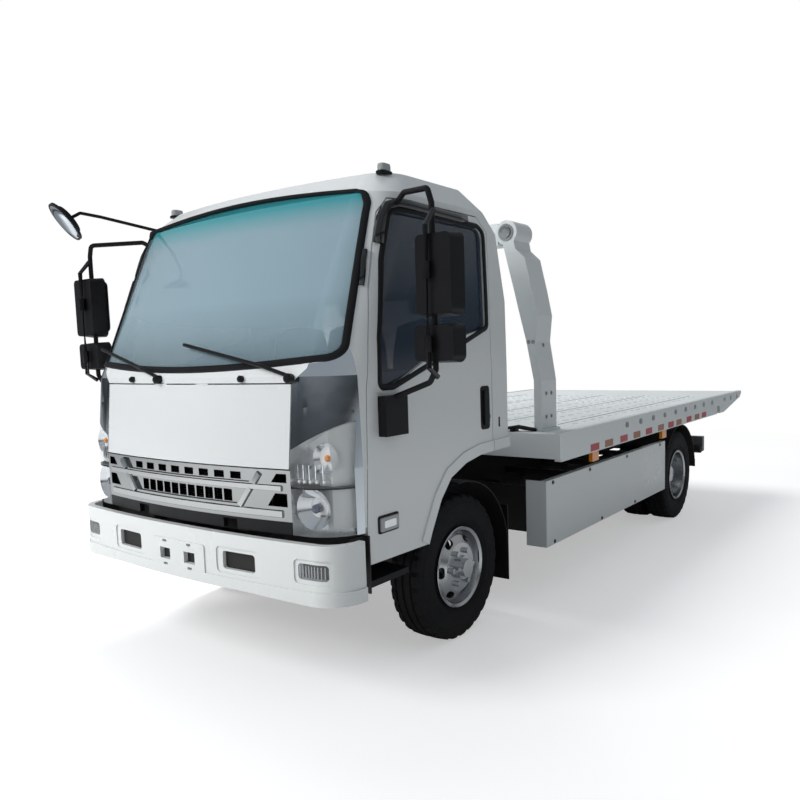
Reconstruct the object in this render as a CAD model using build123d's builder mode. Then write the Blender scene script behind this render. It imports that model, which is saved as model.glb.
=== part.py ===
from build123d import *
from math import cos, sin, radians, sqrt, atan2
import os

os.makedirs("parts", exist_ok=True)

# Light cab-over tow truck with a sliding, tilting flatbed.
# Millimetres. +X forward, +Y left, +Z up, origin on the ground below the middle of the length.

# Driving dimensions of the whole vehicle
LENGTH = 5995.0
WHEELBASE = 3360.0
FRONT_OVERHANG = 1092.5
FRONT_AXLE_X = LENGTH / 2 - FRONT_OVERHANG
REAR_AXLE_X = FRONT_AXLE_X - WHEELBASE
NOSE_X = LENGTH / 2
TAIL_X = -LENGTH / 2
FIT = 0.5              # clearance at pins and seats
RUNNING_GAP = 6.0      # clearance between panels that move apart

# Wheels
TYRE_RADIUS = 387.5
TYRE_WIDTH = 200.0
TYRE_BORE = 205.0
RIM_FLANGE_RADIUS = 220.0
RIM_WIDTH = 178.0
RIM_WALL = 8.0
FRONT_WHEEL_Y = 840.0
REAR_WHEEL_Y = 825.0
DUAL_SPACING = 232.0
KINGPIN_Y = 700.0
KINGPIN_RADIUS = 16.0
SPINDLE_RADIUS = 32.0
HUB_RADIUS = 62.0
HAND_HOLES = 6
WHEEL_STUDS = 6
STUD_CIRCLE = 92.0

# Chassis frame
RAIL_TOP = 740.0
RAIL_HEIGHT = 180.0
RAIL_WIDTH = 65.0
RAIL_WALL = 6.0
RAIL_OUTER_Y = 372.0
RAIL_FRONT_X = NOSE_X - 140.0
RAIL_REAR_X = -2520.0
RAIL_INNER_Y = RAIL_OUTER_Y - RAIL_WIDTH

# Cab body, x measured from the front axle
CAB_BOTTOM = 590.0
CAB_WALL = 45.0
CAB_BOW = 60.0
CAB_REAR_CORNER = 40.0
CAB_SECTIONS = [
    # height, front x, half width, rear x, front corner radius, share of an inset that lowers it
    (CAB_BOTTOM, 1040.0, 970.0, -500.0, 230.0, 0.0),
    (1040.0, 1045.0, 970.0, -500.0, 230.0, 0.0),
    (1440.0, 1005.0, 968.0, -500.0, 230.0, 0.0),
    (1800.0, 840.0, 962.0, -500.0, 230.0, 0.0),
    (2160.0, 672.0, 952.0, -425.0, 210.0, 0.0),
    (2270.0, 620.0, 925.0, -340.0, 185.0, 0.3),
    (2385.0, 480.0, 840.0, -240.0, 165.0, 0.7),
    (2432.0, 270.0, 650.0, -90.0, 140.0, 1.0),
]
FIREWALL_X = FRONT_AXLE_X + 880.0
NOSE_SKIN = 26.0
NOSE_BOTTOM = 745.0
GRILLE_BOTTOM = 802.0
LID_BOTTOM = 1038.0
LID_TOP = 1407.0
LID_HALF = 702.0
LAMP_TOP_INNER = 1122.0
LAMP_TOP_OUTER = 1247.0
CORNER_REAR_X = FRONT_AXLE_X + 800.0
CAB_TILT_X = FRONT_AXLE_X + 950.0
CAB_TILT_Z = 800.0
FLOOR_REAR_Z = 1000.0
FLOOR_FRONT_Z = 800.0
FLOOR_STEP_X = FRONT_AXLE_X + 350.0
FLOOR_THICKNESS = 30.0
FIREWALL_SHEET = 25.0
FIREWALL_BOTTOM = FLOOR_FRONT_Z + FLOOR_THICKNESS + FIT
FIREWALL_TOP = LID_TOP + 45.0
NOSE_SPLIT_Y = LID_HALF + RUNNING_GAP
LID_HINGE_X = FRONT_AXLE_X + 1006.0
LID_HINGE_Z = LID_TOP + 2.6
LID_HINGE_RADIUS = 2.9
HINGE_ARM_Y = 350.0
HINGE_ARM_WIDTH = 24.0
HINGE_EYE_RADIUS = 32.0
HINGE_PIN_RADIUS = 14.0
LAMP_OUTER_Y = 952.0
DOOR_GLASS_SEAT = 18.0

# Doors, x measured from the front axle
DOOR_REAR = -298.0
DOOR_TOP = 2232.0
DOOR_HINGE_X = FRONT_AXLE_X + 775.0
DOOR_HINGE_Y = 966.5
DOOR_PIN_Z = 1035.0
DOOR_PIN_RADIUS = 2.9
FLARE_WIDTH = 58.0
ARCH = [
    # x from the front axle, height along the edge of the wheel arch, front to back
    (341.0, 592.0),
    (312.0, 650.0),
    (227.0, 794.0),
    (133.0, 891.0),
    (-10.0, 947.0),
    (-161.0, 972.0),
    (-500.0, 981.0),
]
WINDOW = [
    # x from the front axle, height, corner radius of the side window
    (668.0, 1380.0, 30.0),
    (655.0, 1600.0, 200.0),
    (585.0, 1943.0, 300.0),
    (500.0, 2182.0, 70.0),
    (-262.0, 2182.0, 70.0),
    (-262.0, 1650.0, 30.0),
    (20.0, 1594.0, 120.0),
    (322.0, 1486.0, 120.0),
    (560.0, 1380.0, 80.0),
]

# Deck
DECK_FRONT_X = FRONT_AXLE_X - 660.0
DECK_TOP = 1036.0
DECK_SHEET = 26.0
DECK_HALF = 1160.0
DECK_RAIL_WIDTH = 42.0
DECK_RAIL_BOTTOM = 875.0
DECK_RAIL_TOP = 1042.0
DECK_BEARER_BOTTOM = 925.0
RUNNER_Y = 345.0
RUNNER_WIDTH = 60.0
TAIL_RISE_X = -2330.0
TAIL_BREAK_X = -2135.0
TAIL_BREAK = 90.0
RAIL_HOLE_Z = 994.0
RAIL_HOLE_LENGTH = 70.0
RAIL_HOLE_HEIGHT = 40.0
RAIL_HOLE_PITCH = 264.0
RAIL_HOLES = 9
RAIL_HOLE_FIRST_X = FRONT_AXLE_X - 1712.0
TAIL_HOLES = 3
TAIL_HOLE_FIRST_X = FRONT_AXLE_X - 4258.0
TAIL_HOLE_PITCH = 232.0

# Bed subframe and its hinge
SUBFRAME_TOP = 884.0
SUBFRAME_BOTTOM = RAIL_TOP + FIT
SUBFRAME_Y = 345.0
SUBFRAME_WIDTH = 70.0
SUBFRAME_FRONT_X = DECK_FRONT_X - 40.0
BED_HINGE_X = -2445.0
BED_HINGE_Z = 800.0
BED_PIN_RADIUS = 25.0

# Frame behind the cab
POST_FRONT_X = FRONT_AXLE_X - 760.0
POST_DEPTH = 200.0
KNUCKLE_Y = 815.0
KNUCKLE_Z = 2226.0
KNUCKLE_RADIUS = 72.0

# Side skirts
SKIRT_FRONT_X = FRONT_AXLE_X - 710.0
SKIRT_REAR_X = FRONT_AXLE_X - 2870.0
SKIRT_Y = 1084.0
SKIRT_BOTTOM = 345.0
SKIRT_TOP = 745.0
SKIRT_SHEET = 6.0
SKIRT_FLANGE = 40.0
SKIRT_RETURN_Y = 950.0

# Front bumper, x measured from the front axle
BUMPER_TOP = 730.0
BUMPER_BOTTOM = 470.0
BUMPER_HALF = 1010.0
BUMPER_FRONT = FRONT_OVERHANG
BUMPER_BOW = 55.0
BUMPER_CORNER = 170.0
BUMPER_WALL = 42.0
BUMPER_REAR = 850.0

# Tilt cylinders and slide cylinder
TILT_BASE_X = -250.0
TILT_BASE_Z = 600.0
TILT_EYE_X = -1800.0
TILT_EYE_Z = 790.0
TILT_CYL_Y = 200.0
TILT_BARREL_RADIUS = 42.0
TILT_ROD_RADIUS = 22.0
CYL_EYE_RADIUS = 34.0
CYL_PIN_RADIUS = 15.0
SLIDE_BARREL_RADIUS = 40.0
SLIDE_ROD_RADIUS = 22.0

# Wheel lift behind the rear axle
LIFT_HINGE_X = -2330.0
LIFT_Z = 515.0
LIFT_ARM = 80.0
LIFT_WALL = 8.0
LIFT_REACH = 480.0
LIFT_PIN_RADIUS = 18.0
ROD_EYE_CLEARANCE = 9.0
CYL_CHEEK_Y = 34.0
CYL_EYE_HALF = 24.0
BEARER_PITCH = 400.0
DECK_HEADER = 12.0
DECK_SEAM_X = 760.0
TIE_DEPTH = 26.0


def save(piece, label):
    """Name a finished piece and write it to its own file."""
    piece.part.label = label
    export_step(piece.part, "parts/" + label + ".step")


def ax(x):
    """Place along the vehicle of a distance from the front axle."""
    return FRONT_AXLE_X + x


def cab_form(inset):
    """Closed outer form of the cab, with each side moved in by inset."""
    with BuildPart() as form:
        for height, front, half, rear, corner, lowering in CAB_SECTIONS:
            lift = -60.0 if height == CAB_BOTTOM and inset > 0 else 0.0
            width = half - inset
            nose = ax(front - inset)
            back = ax(rear + inset)
            radius = corner - inset
            shoulder = nose - CAB_BOW
            flat = width - radius
            turn = CAB_REAR_CORNER
            with BuildSketch(Plane.XY.offset(height + lift - lowering * inset)):
                with BuildLine():
                    ThreePointArc((shoulder, -flat), (nose, 0), (shoulder, flat))
                    for side in (1, -1):
                        bulge = radius * sin(radians(45))
                        ThreePointArc(
                            (shoulder, side * flat),
                            (shoulder - radius + bulge, side * (flat + bulge)),
                            (shoulder - radius, side * width),
                        )
                        Line((shoulder - radius, side * width), (back + turn, side * width))
                        ThreePointArc(
                            (back + turn, side * width),
                            (
                                back + turn - turn * sin(radians(45)),
                                side * (width - turn + turn * sin(radians(45))),
                            ),
                            (back, side * (width - turn)),
                        )
                    Line((back, width - turn), (back, turn - width))
                make_face()
        loft(ruled=True)
    return form.part


CAB_OUTER = cab_form(0.0)
CAB_INNER = cab_form(CAB_WALL)
NOSE_INNER = cab_form(NOSE_SKIN)
SIDE = Plane.XZ


def offset_arch(distance):
    """Wheel arch edge moved out from the wheel by distance."""
    moved = []
    for index, (x, z) in enumerate(ARCH):
        before = ARCH[max(index - 1, 0)]
        after = ARCH[min(index + 1, len(ARCH) - 1)]
        run = after[0] - before[0]
        rise = after[1] - before[1]
        size = sqrt(run * run + rise * rise)
        moved.append((x + distance * rise / size, z - distance * run / size))
    return moved


def door_outline():
    """Edge of the left door seen from its side."""
    arch_part = [(ax(x), z) for x, z in ARCH[:-2]]
    Polyline(
        *arch_part,
        (ax(-161.0), 972.0),
        (ax(DOOR_REAR), 976.0),
        (ax(DOOR_REAR), 2150.0),
        (ax(DOOR_REAR + 70), DOOR_TOP),
        (ax(490.0), DOOR_TOP),
        (ax(548.0), 2165.0),
        (ax(607.0), 2003.0),
        (ax(666.0), 1822.0),
        (ax(719.0), 1588.0),
        (ax(757.0), 1370.0),
        (ax(788.0), 700.0),
        (ax(788.0), 597.0),
        arch_part[0],
    )


def window_face(clearance):
    """Side window opening, made larger by clearance on every side."""
    with BuildSketch(SIDE) as face:
        with BuildLine():
            FilletPolyline(
                *[(ax(x), z) for x, z, radius in WINDOW],
                radius=[radius for x, z, radius in WINDOW],
                close=True,
            )
        make_face()
        if clearance != 0:
            offset(amount=clearance, kind=Kind.INTERSECTION)
    return face.sketch


def window_block(clearance):
    """Block through the left side of the cab inside the outline of the window."""
    with BuildPart() as block:
        extrude(window_face(clearance), amount=-1100)
    return block.part


# Windscreen plane lies along the slope between the belt and the header
GLASS_LEAN = atan2(1005.0 - 620.0, 2270.0 - 1440.0)
GLASS_PLANE = Plane(
    origin=(ax(1005.0), 0, 1440.0),
    x_dir=(0, 1, 0),
    z_dir=(cos(GLASS_LEAN), 0, sin(GLASS_LEAN)),
)
GLASS_LOW = (905.0, 140.0)
GLASS_HIGH = (835.0, 950.0)
GLASS_LOW_MIDDLE = 52.0
GLASS_HIGH_MIDDLE = 978.0
GLASS_CORNER = 85.0
GLASS_DEPTH = 190.0
GLASS_SEAT = 10.0
GLASS_THICKNESS = 6.0


def windscreen_face(clearance):
    """Outline of the windscreen on its own sloping plane, cut back by clearance."""
    low_y, low_t = GLASS_LOW
    high_y, high_t = GLASS_HIGH
    with BuildSketch(GLASS_PLANE) as face:
        with BuildLine():
            ThreePointArc((-low_y, low_t), (0, GLASS_LOW_MIDDLE), (low_y, low_t))
            Line((low_y, low_t), (high_y, high_t))
            ThreePointArc((high_y, high_t), (0, GLASS_HIGH_MIDDLE), (-high_y, high_t))
            Line((-high_y, high_t), (-low_y, low_t))
        make_face()
        fillet(face.vertices(), GLASS_CORNER)
        if clearance != 0:
            offset(amount=-clearance)
    return face.sketch


def windscreen_block(clearance):
    """Block through the cab form inside the outline of the windscreen."""
    with BuildPart() as block:
        extrude(windscreen_face(clearance), amount=CAB_BOW)
        extrude(windscreen_face(clearance), amount=-GLASS_DEPTH)
    return block.part


# Layer of the nose that the lid, grille, lamps and corner panels are cut from
with BuildPart() as nose_layer:
    add(CAB_OUTER)
    add(NOSE_INNER, mode=Mode.SUBTRACT)
    with BuildSketch(SIDE):
        with BuildLine():
            Polyline(
                (CORNER_REAR_X, CAB_BOTTOM - 100),
                (CORNER_REAR_X, 1530),
                (CORNER_REAR_X + 8, 1575),
                (FIREWALL_X + 20, 1500),
                (NOSE_X, 1440),
                (NOSE_X, CAB_BOTTOM - 100),
                close=True,
            )
        make_face()
    extrude(amount=1200, both=True, mode=Mode.INTERSECT)
    # the cowl between the corner panels stays with the shell
    with BuildSketch(Plane.YZ.offset(FIREWALL_X - 60)):
        with BuildLine():
            Polyline(
                (-LID_HALF - RUNNING_GAP, LID_TOP + RUNNING_GAP),
                (LID_HALF + RUNNING_GAP, LID_TOP + RUNNING_GAP),
                (775, 1475),
                (790, 1600),
                (-790, 1600),
                (-775, 1475),
                close=True,
            )
        make_face()
    extrude(amount=400, mode=Mode.SUBTRACT)
    add(windscreen_block(0), mode=Mode.SUBTRACT)
NOSE_LAYER = nose_layer.part

# Raised lip along the wheel arch, on the left side of the cab
FLARE_RISE = 9.0
FLARE_WIDTH = 58.0
with BuildPart() as flare_left:
    add(cab_form(-FLARE_RISE))
    add(CAB_OUTER, mode=Mode.SUBTRACT)
    with BuildSketch(SIDE.offset(-500)):
        with BuildLine():
            Polyline(
                *[(ax(x), z) for x, z in ARCH],
                *[(ax(x), z) for x, z in reversed(offset_arch(FLARE_WIDTH))],
                close=True,
            )
        make_face()
    extrude(amount=-600, mode=Mode.INTERSECT)

# Firewall across the cab behind the service lid
with BuildPart() as firewall:
    add(NOSE_INNER)
    with BuildSketch(Plane.YZ.offset(FIREWALL_X)):
        with Locations((0, (FIREWALL_BOTTOM + FIREWALL_TOP) / 2)):
            Rectangle(2000, FIREWALL_TOP - FIREWALL_BOTTOM)
    extrude(amount=FIREWALL_SHEET, mode=Mode.INTERSECT)

def tube(points, radius, bend):
    """Round tube through a few points with rounded corners."""
    with BuildPart() as bar:
        with BuildLine() as path:
            FilletPolyline(*points, radius=bend)
        with BuildSketch(Plane(origin=path.line @ 0, z_dir=path.line % 0)):
            Circle(radius)
        sweep()
    return bar.part


REAR_WINDOW = (1100.0, 420.0, 50.0)
REAR_WINDOW_Z = 1640.0
# Wide-view mirror: a domed disc on two tubes that end on the cab's right corner
VIEW_MIRROR = Vector(ax(950.0), -1040.0, 2320.0)
VIEW_MIRROR_RADIUS = 118.0
VIEW_TUBE = 9.0
with BuildPart() as view_mirror:
    with Locations(Plane(origin=VIEW_MIRROR, z_dir=(0.75, -0.25, -0.62))):
        Cylinder(VIEW_MIRROR_RADIUS, 14)
        with Locations((0, 0, -16)):
            Cylinder(VIEW_MIRROR_RADIUS * 0.7, 24)
    for foot in ((ax(400.0), -780.0, 2270.0), (ax(520.0), -800.0, 2020.0)):
        add(
            tube(
                [
                    (VIEW_MIRROR.X - 18, VIEW_MIRROR.Y + 6, VIEW_MIRROR.Z + 16),
                    (VIEW_MIRROR.X - 60, VIEW_MIRROR.Y + 55, VIEW_MIRROR.Z + 48),
                    (VIEW_MIRROR.X - 150, VIEW_MIRROR.Y + 110, VIEW_MIRROR.Z + 30),
                    foot,
                ],
                VIEW_TUBE,
                18,
            )
        )
    add(CAB_OUTER, mode=Mode.SUBTRACT)

# Cab shell: roof, pillars, back wall, cowl and firewall round a hollow inside
with BuildPart() as cab_shell:
    add(CAB_OUTER)
    add(CAB_INNER, mode=Mode.SUBTRACT)
    add(NOSE_LAYER, mode=Mode.SUBTRACT)
    with BuildSketch(Plane.XY.offset(CAB_BOTTOM - 100)):
        with Locations((FIREWALL_X + 25 + 400, 0)):
            Rectangle(800, 2200)
    extrude(amount=LID_TOP + RUNNING_GAP - CAB_BOTTOM + 100, mode=Mode.SUBTRACT)
    with BuildSketch(Plane.XY.offset(CAB_BOTTOM - 100)):
        with Locations((FRONT_AXLE_X + 600, 0)):
            Rectangle(1200, 2200)
    extrude(amount=FLOOR_FRONT_Z - FLOOR_THICKNESS - CAB_BOTTOM + 100, mode=Mode.SUBTRACT)
    add(firewall.part)
    add(flare_left.part)
    mirror(flare_left.part, about=Plane.XZ)
    # doors, arches and underside
    for side in (1, -1):
        with BuildSketch(SIDE.offset(-side * 400)):
            with BuildLine():
                door_outline()
            make_face()
            offset(amount=RUNNING_GAP, kind=Kind.INTERSECTION)
        extrude(amount=-side * 700, mode=Mode.SUBTRACT)
    with BuildSketch(SIDE):
        with BuildLine():
            Polyline(
                *[(ax(x), z) for x, z in ARCH],
                (ax(-700.0), 981.0),
                (ax(-700.0), CAB_BOTTOM - 200),
                (ax(341.0), CAB_BOTTOM - 200),
                close=True,
            )
        make_face()
    extrude(amount=1200, both=True, mode=Mode.SUBTRACT)
    add(windscreen_block(0), mode=Mode.SUBTRACT)
    # rear window
    with BuildSketch(Plane.YZ.offset(ax(-560.0))):
        with Locations((0, REAR_WINDOW_Z)):
            RectangleRounded(REAR_WINDOW[0], REAR_WINDOW[1], REAR_WINDOW[2])
    extrude(amount=150, mode=Mode.SUBTRACT)
    # wide-view mirror over the right corner, on two tubes from the roof pillar
    add(view_mirror.part)
save(cab_shell, "cab_shell")

# Windscreen, set into the opening of the shell
with BuildPart() as windscreen:
    add(cab_form(GLASS_SEAT))
    add(cab_form(GLASS_SEAT + GLASS_THICKNESS), mode=Mode.SUBTRACT)
    add(windscreen_block(FIT), mode=Mode.INTERSECT)
# Rear window beside it in the same node of fixed glass
with BuildPart() as cab_glass:
    add(windscreen.part)
    with BuildSketch(Plane.YZ.offset(ax(-500.0) + GLASS_SEAT)):
        with Locations((0, REAR_WINDOW_Z)):
            RectangleRounded(REAR_WINDOW[0] - 2 * FIT, REAR_WINDOW[1] - 2 * FIT, REAR_WINDOW[2])
    extrude(amount=GLASS_THICKNESS)
save(cab_glass, "cab_glass")

# Inside of the cab, just clear of its walls
CABIN = cab_form(CAB_WALL + FIT)

# Room beside the floor and the dashboard for the inner corners of the doors
DOOR_SWEEP = 9.0
with BuildPart() as door_sweep:
    add(CABIN)
    add(cab_form(CAB_WALL + DOOR_SWEEP), mode=Mode.SUBTRACT)
    with BuildSketch(SIDE):
        with Locations((ax(DOOR_REAR + 600), 1200)):
            Rectangle(1240, 1600)
    extrude(amount=1200, both=True, mode=Mode.INTERSECT)

# Cab floor: low in front of the seats, stepped up over the engine
with BuildPart() as cab_floor:
    with BuildSketch(SIDE):
        with BuildLine():
            Polyline(
                (FIREWALL_X + FIREWALL_SHEET, FLOOR_FRONT_Z),
                (FLOOR_STEP_X, FLOOR_FRONT_Z),
                (FLOOR_STEP_X, FLOOR_REAR_Z),
                (ax(-500.0), FLOOR_REAR_Z),
                (ax(-500.0), FLOOR_REAR_Z + FLOOR_THICKNESS),
                (FLOOR_STEP_X + FLOOR_THICKNESS, FLOOR_REAR_Z + FLOOR_THICKNESS),
                (FLOOR_STEP_X + FLOOR_THICKNESS, FLOOR_FRONT_Z + FLOOR_THICKNESS),
                (FIREWALL_X + FIREWALL_SHEET, FLOOR_FRONT_Z + FLOOR_THICKNESS),
                close=True,
            )
        make_face()
    extrude(amount=1000, both=True)
    add(CABIN, mode=Mode.INTERSECT)
    add(door_sweep.part, mode=Mode.SUBTRACT)
    # hinge arms reach forward to the cab's tilt pins
    for side in (1, -1):
        with BuildSketch(SIDE.offset(-side * (HINGE_ARM_Y - HINGE_ARM_WIDTH / 2))):
            with BuildLine():
                Polyline(
                    (FIREWALL_X - 200, FLOOR_FRONT_Z),
                    (FIREWALL_X - 60, CAB_TILT_Z - HINGE_EYE_RADIUS),
                    (CAB_TILT_X, CAB_TILT_Z - HINGE_EYE_RADIUS),
                    (CAB_TILT_X, FLOOR_FRONT_Z + FLOOR_THICKNESS - 2),
                    (FIREWALL_X - 200, FLOOR_FRONT_Z + FLOOR_THICKNESS - 2),
                    close=True,
                )
            make_face()
            with Locations((CAB_TILT_X, CAB_TILT_Z)):
                Circle(HINGE_EYE_RADIUS)
            with Locations((CAB_TILT_X, CAB_TILT_Z)):
                Circle(HINGE_PIN_RADIUS + FIT, mode=Mode.SUBTRACT)
        extrude(amount=-side * HINGE_ARM_WIDTH)
save(cab_floor, "cab_floor")


def nose_piece(outline_points):
    """Piece of the nose layer inside an outline given as y and height pairs."""
    with BuildPart() as piece:
        add(NOSE_LAYER)
        with BuildSketch(Plane.YZ.offset(FIREWALL_X - 120)):
            with BuildLine():
                Polyline(*outline_points, close=True)
            make_face()
        extrude(amount=500, mode=Mode.INTERSECT)
    return piece.part


# Service lid in the nose
with BuildPart() as front_lid:
    add(
        nose_piece(
            [
                (-LID_HALF, LID_BOTTOM),
                (LID_HALF, LID_BOTTOM),
                (LID_HALF, LID_TOP),
                (-LID_HALF, LID_TOP),
            ]
        )
    )
    for side in (1, -1):
        with Locations(Location((LID_HINGE_X, side * 160, LID_HINGE_Z), (90, 0, 0))):
            Cylinder(LID_HINGE_RADIUS, 90)
save(front_lid, "front_lid")

# Grille: two swept bars tied by slanted blades, with open slots between them
GRILLE_TOP = LID_BOTTOM - RUNNING_GAP
GRILLE_RECESS = 12.0
GRILLE_SLOTS = [
    # height of the middle, first side distance, pitch, width, height, count
    (898.0, -322.0, 64.4, 54.0, 56.0, 11),
    (994.0, -378.0, 108.0, 66.0, 34.0, 8),
]
GRILLE_BAYS = [
    # low and high edge, half width at the low and the high edge
    (864.0, 932.0, 388.0, 440.0),
    (970.0, GRILLE_TOP - 6.0, 470.0, 520.0),
]
GRILLE_POCKETS = [
    # low edge, high edge, inner side distance at each, outer side distance
    (868.0, 928.0, 575.0, 620.0, 686.0),
    (976.0, 1016.0, 600.0, 632.0, 686.0),
]
with BuildPart() as grille_bays:
    add(NOSE_LAYER)
    add(cab_form(GRILLE_RECESS), mode=Mode.SUBTRACT)
    with BuildSketch(Plane.YZ.offset(FIREWALL_X)):
        for low, high, half_low, half_high in GRILLE_BAYS:
            with BuildLine():
                Polyline(
                    (-half_low, low), (half_low, low), (half_high, high), (-half_high, high),
                    close=True,
                )
            make_face()
    extrude(amount=400, mode=Mode.INTERSECT)
with BuildPart() as grille:
    add(
        nose_piece(
            [
                (-NOSE_SPLIT_Y + FIT, GRILLE_BOTTOM),
                (NOSE_SPLIT_Y - FIT, GRILLE_BOTTOM),
                (NOSE_SPLIT_Y - FIT, GRILLE_TOP),
                (-NOSE_SPLIT_Y + FIT, GRILLE_TOP),
            ]
        )
    )
    add(grille_bays.part, mode=Mode.SUBTRACT)
    with BuildSketch(Plane.YZ.offset(FIREWALL_X)):
        for middle, first, pitch, width, height, count in GRILLE_SLOTS:
            for index in range(count):
                with Locations((first + index * pitch, middle)):
                    Rectangle(width, height)
        for low, high, inner_low, inner_high, outer in GRILLE_POCKETS:
            for side in (1, -1):
                with BuildLine():
                    Polyline(
                        (side * inner_low, low),
                        (side * outer, low),
                        (side * outer, high),
                        (side * inner_high, high),
                        close=True,
                    )
                make_face()
    extrude(amount=400, mode=Mode.SUBTRACT)
save(grille, "grille")

VALANCE_NOTCH = 46.0
with BuildPart() as valance:
    add(
        nose_piece(
            [
                (-NOSE_SPLIT_Y + FIT, NOSE_BOTTOM),
                (NOSE_SPLIT_Y - FIT, NOSE_BOTTOM),
                (NOSE_SPLIT_Y - FIT, GRILLE_BOTTOM - FIT),
                (-NOSE_SPLIT_Y + FIT, GRILLE_BOTTOM - FIT),
            ]
        )
    )
    # notches that pass the hinge brackets as the cab tilts
    with BuildSketch(Plane.YZ.offset(FIREWALL_X)):
        for side in (1, -1):
            with Locations((side * (RAIL_INNER_Y + RAIL_OUTER_Y) / 2, NOSE_BOTTOM)):
                Rectangle(RAIL_WIDTH + 4 * RUNNING_GAP, 2 * VALANCE_NOTCH)
    extrude(amount=400, mode=Mode.SUBTRACT)
save(valance, "valance")

LAMP_SPLIT_Z = 957.0
LAMP_GROOVE = 9.0
# Head lamps and the bright corner panels above them, one on each side
with BuildPart() as lamp_groove:
    add(NOSE_LAYER)
    add(cab_form(LAMP_GROOVE), mode=Mode.SUBTRACT)
    with BuildSketch(Plane.YZ.offset(CORNER_REAR_X - 100)):
        with Locations((0, LAMP_SPLIT_Z)):
            Rectangle(2200, LAMP_GROOVE)
    extrude(amount=500, mode=Mode.INTERSECT)
with BuildPart() as headlamps:
    for side in (1, -1):
        add(
            nose_piece(
                [
                    (side * NOSE_SPLIT_Y, NOSE_BOTTOM),
                    (side * LAMP_OUTER_Y, NOSE_BOTTOM),
                    (side * LAMP_OUTER_Y, LAMP_TOP_OUTER),
                    (side * NOSE_SPLIT_Y, LAMP_TOP_INNER),
                ]
            )
        )
    # groove between the upper and the lower lamp
    add(lamp_groove.part, mode=Mode.SUBTRACT)
save(headlamps, "headlamps")

with BuildPart() as corner_panels:
    for side in (1, -1):
        add(
            nose_piece(
                [
                    (side * NOSE_SPLIT_Y, LAMP_TOP_INNER + FIT),
                    (side * (LAMP_OUTER_Y + FIT), LAMP_TOP_OUTER + 2 * FIT),
                    (side * (LAMP_OUTER_Y + FIT), NOSE_BOTTOM),
                    (side * 1100, NOSE_BOTTOM),
                    (side * 1100, 1700),
                    (side * NOSE_SPLIT_Y, 1700),
                ]
            )
        )
save(corner_panels, "corner_panels")


def side_layer(inner, outer):
    """Layer of the left side of the cab between two insets."""
    with BuildPart() as layer:
        add(cab_form(inner) if inner else CAB_OUTER)
        add(CAB_INNER if outer == CAB_WALL else cab_form(outer), mode=Mode.SUBTRACT)
        with BuildSketch(SIDE.offset(-500)):
            with Locations((FRONT_AXLE_X, 1500)):
                Rectangle(2400, 2000)
        extrude(amount=-600, mode=Mode.INTERSECT)
    return layer.part


# Doors follow the side of the cab, with the raised lip of the wheel arch
with BuildPart() as door_left:
    add(side_layer(0, CAB_WALL))
    add(flare_left.part)
    with BuildSketch(SIDE.offset(-400)):
        with BuildLine():
            door_outline()
        make_face()
    extrude(amount=-700, mode=Mode.INTERSECT)
    add(window_block(0), mode=Mode.SUBTRACT)
    with Locations((DOOR_HINGE_X, DOOR_HINGE_Y, DOOR_PIN_Z)):
        Cylinder(DOOR_PIN_RADIUS, 14)
save(door_left, "door_left")
with BuildPart() as door_right:
    mirror(door_left.part, about=Plane.XZ)
save(door_right, "door_right")

with BuildPart() as door_glass_left:
    add(side_layer(DOOR_GLASS_SEAT, DOOR_GLASS_SEAT + GLASS_THICKNESS))
    add(window_block(-FIT), mode=Mode.INTERSECT)
save(door_glass_left, "door_glass_left")
with BuildPart() as door_glass_right:
    mirror(door_glass_left.part, about=Plane.XZ)
save(door_glass_right, "door_glass_right")


def box(x0, x1, y0, y1, z0, z1, mode=Mode.ADD):
    """Block between two corners, in the part being built."""
    with Locations(((x0 + x1) / 2, (y0 + y1) / 2, (z0 + z1) / 2)):
        Box(abs(x1 - x0), abs(y1 - y0), abs(z1 - z0), mode=mode)


def cross_rod(x, z, y0, y1, radius, mode=Mode.ADD):
    """Round bar along Y from y0 to y1."""
    with Locations(Location((x, (y0 + y1) / 2, z), (90, 0, 0))):
        Cylinder(radius, abs(y1 - y0), mode=mode)


# Seats, dashboard and steering wheel
SEAT_BASE_Z = FLOOR_REAR_Z + FLOOR_THICKNESS + FIT
SEATS = [
    # middle y, width, places
    (520.0, 500.0, 1),
    (-270.0, 960.0, 2),
]
SEAT_BACK = 700.0
SEAT_CUSHION = 150.0
SEAT_FRONT_X = ax(250.0)
SEAT_REAR_X = ax(-260.0)
with BuildPart() as seats:
    for seat_y, seat_width, places in SEATS:
        with BuildSketch(SIDE.offset(-(seat_y - seat_width / 2))):
            with BuildLine():
                Polyline(
                    (SEAT_FRONT_X, SEAT_BASE_Z),
                    (SEAT_FRONT_X + 20, SEAT_BASE_Z + SEAT_CUSHION),
                    (SEAT_REAR_X + 20, SEAT_BASE_Z + SEAT_CUSHION - 25),
                    (SEAT_REAR_X - 70, SEAT_BASE_Z + SEAT_BACK),
                    (SEAT_REAR_X - 160, SEAT_BASE_Z + SEAT_BACK - 10),
                    (SEAT_REAR_X - 90, SEAT_BASE_Z + 20),
                    (SEAT_REAR_X - 80, SEAT_BASE_Z),
                    close=True,
                )
            make_face()
        extrude(amount=-seat_width)
        for place in range(places):
            head_y = seat_y + (place - (places - 1) / 2) * seat_width / 2
            head_x = SEAT_REAR_X - 125
            head_z = SEAT_BASE_Z + SEAT_BACK
            box(head_x - 40, head_x + 40, head_y - 120, head_y + 120, head_z + 20, head_z + 200)
            for stem in (-54, 54):
                box(head_x - 6, head_x + 6, head_y + stem - 6, head_y + stem + 6, head_z - 40, head_z + 30)
save(seats, "seats")

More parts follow.
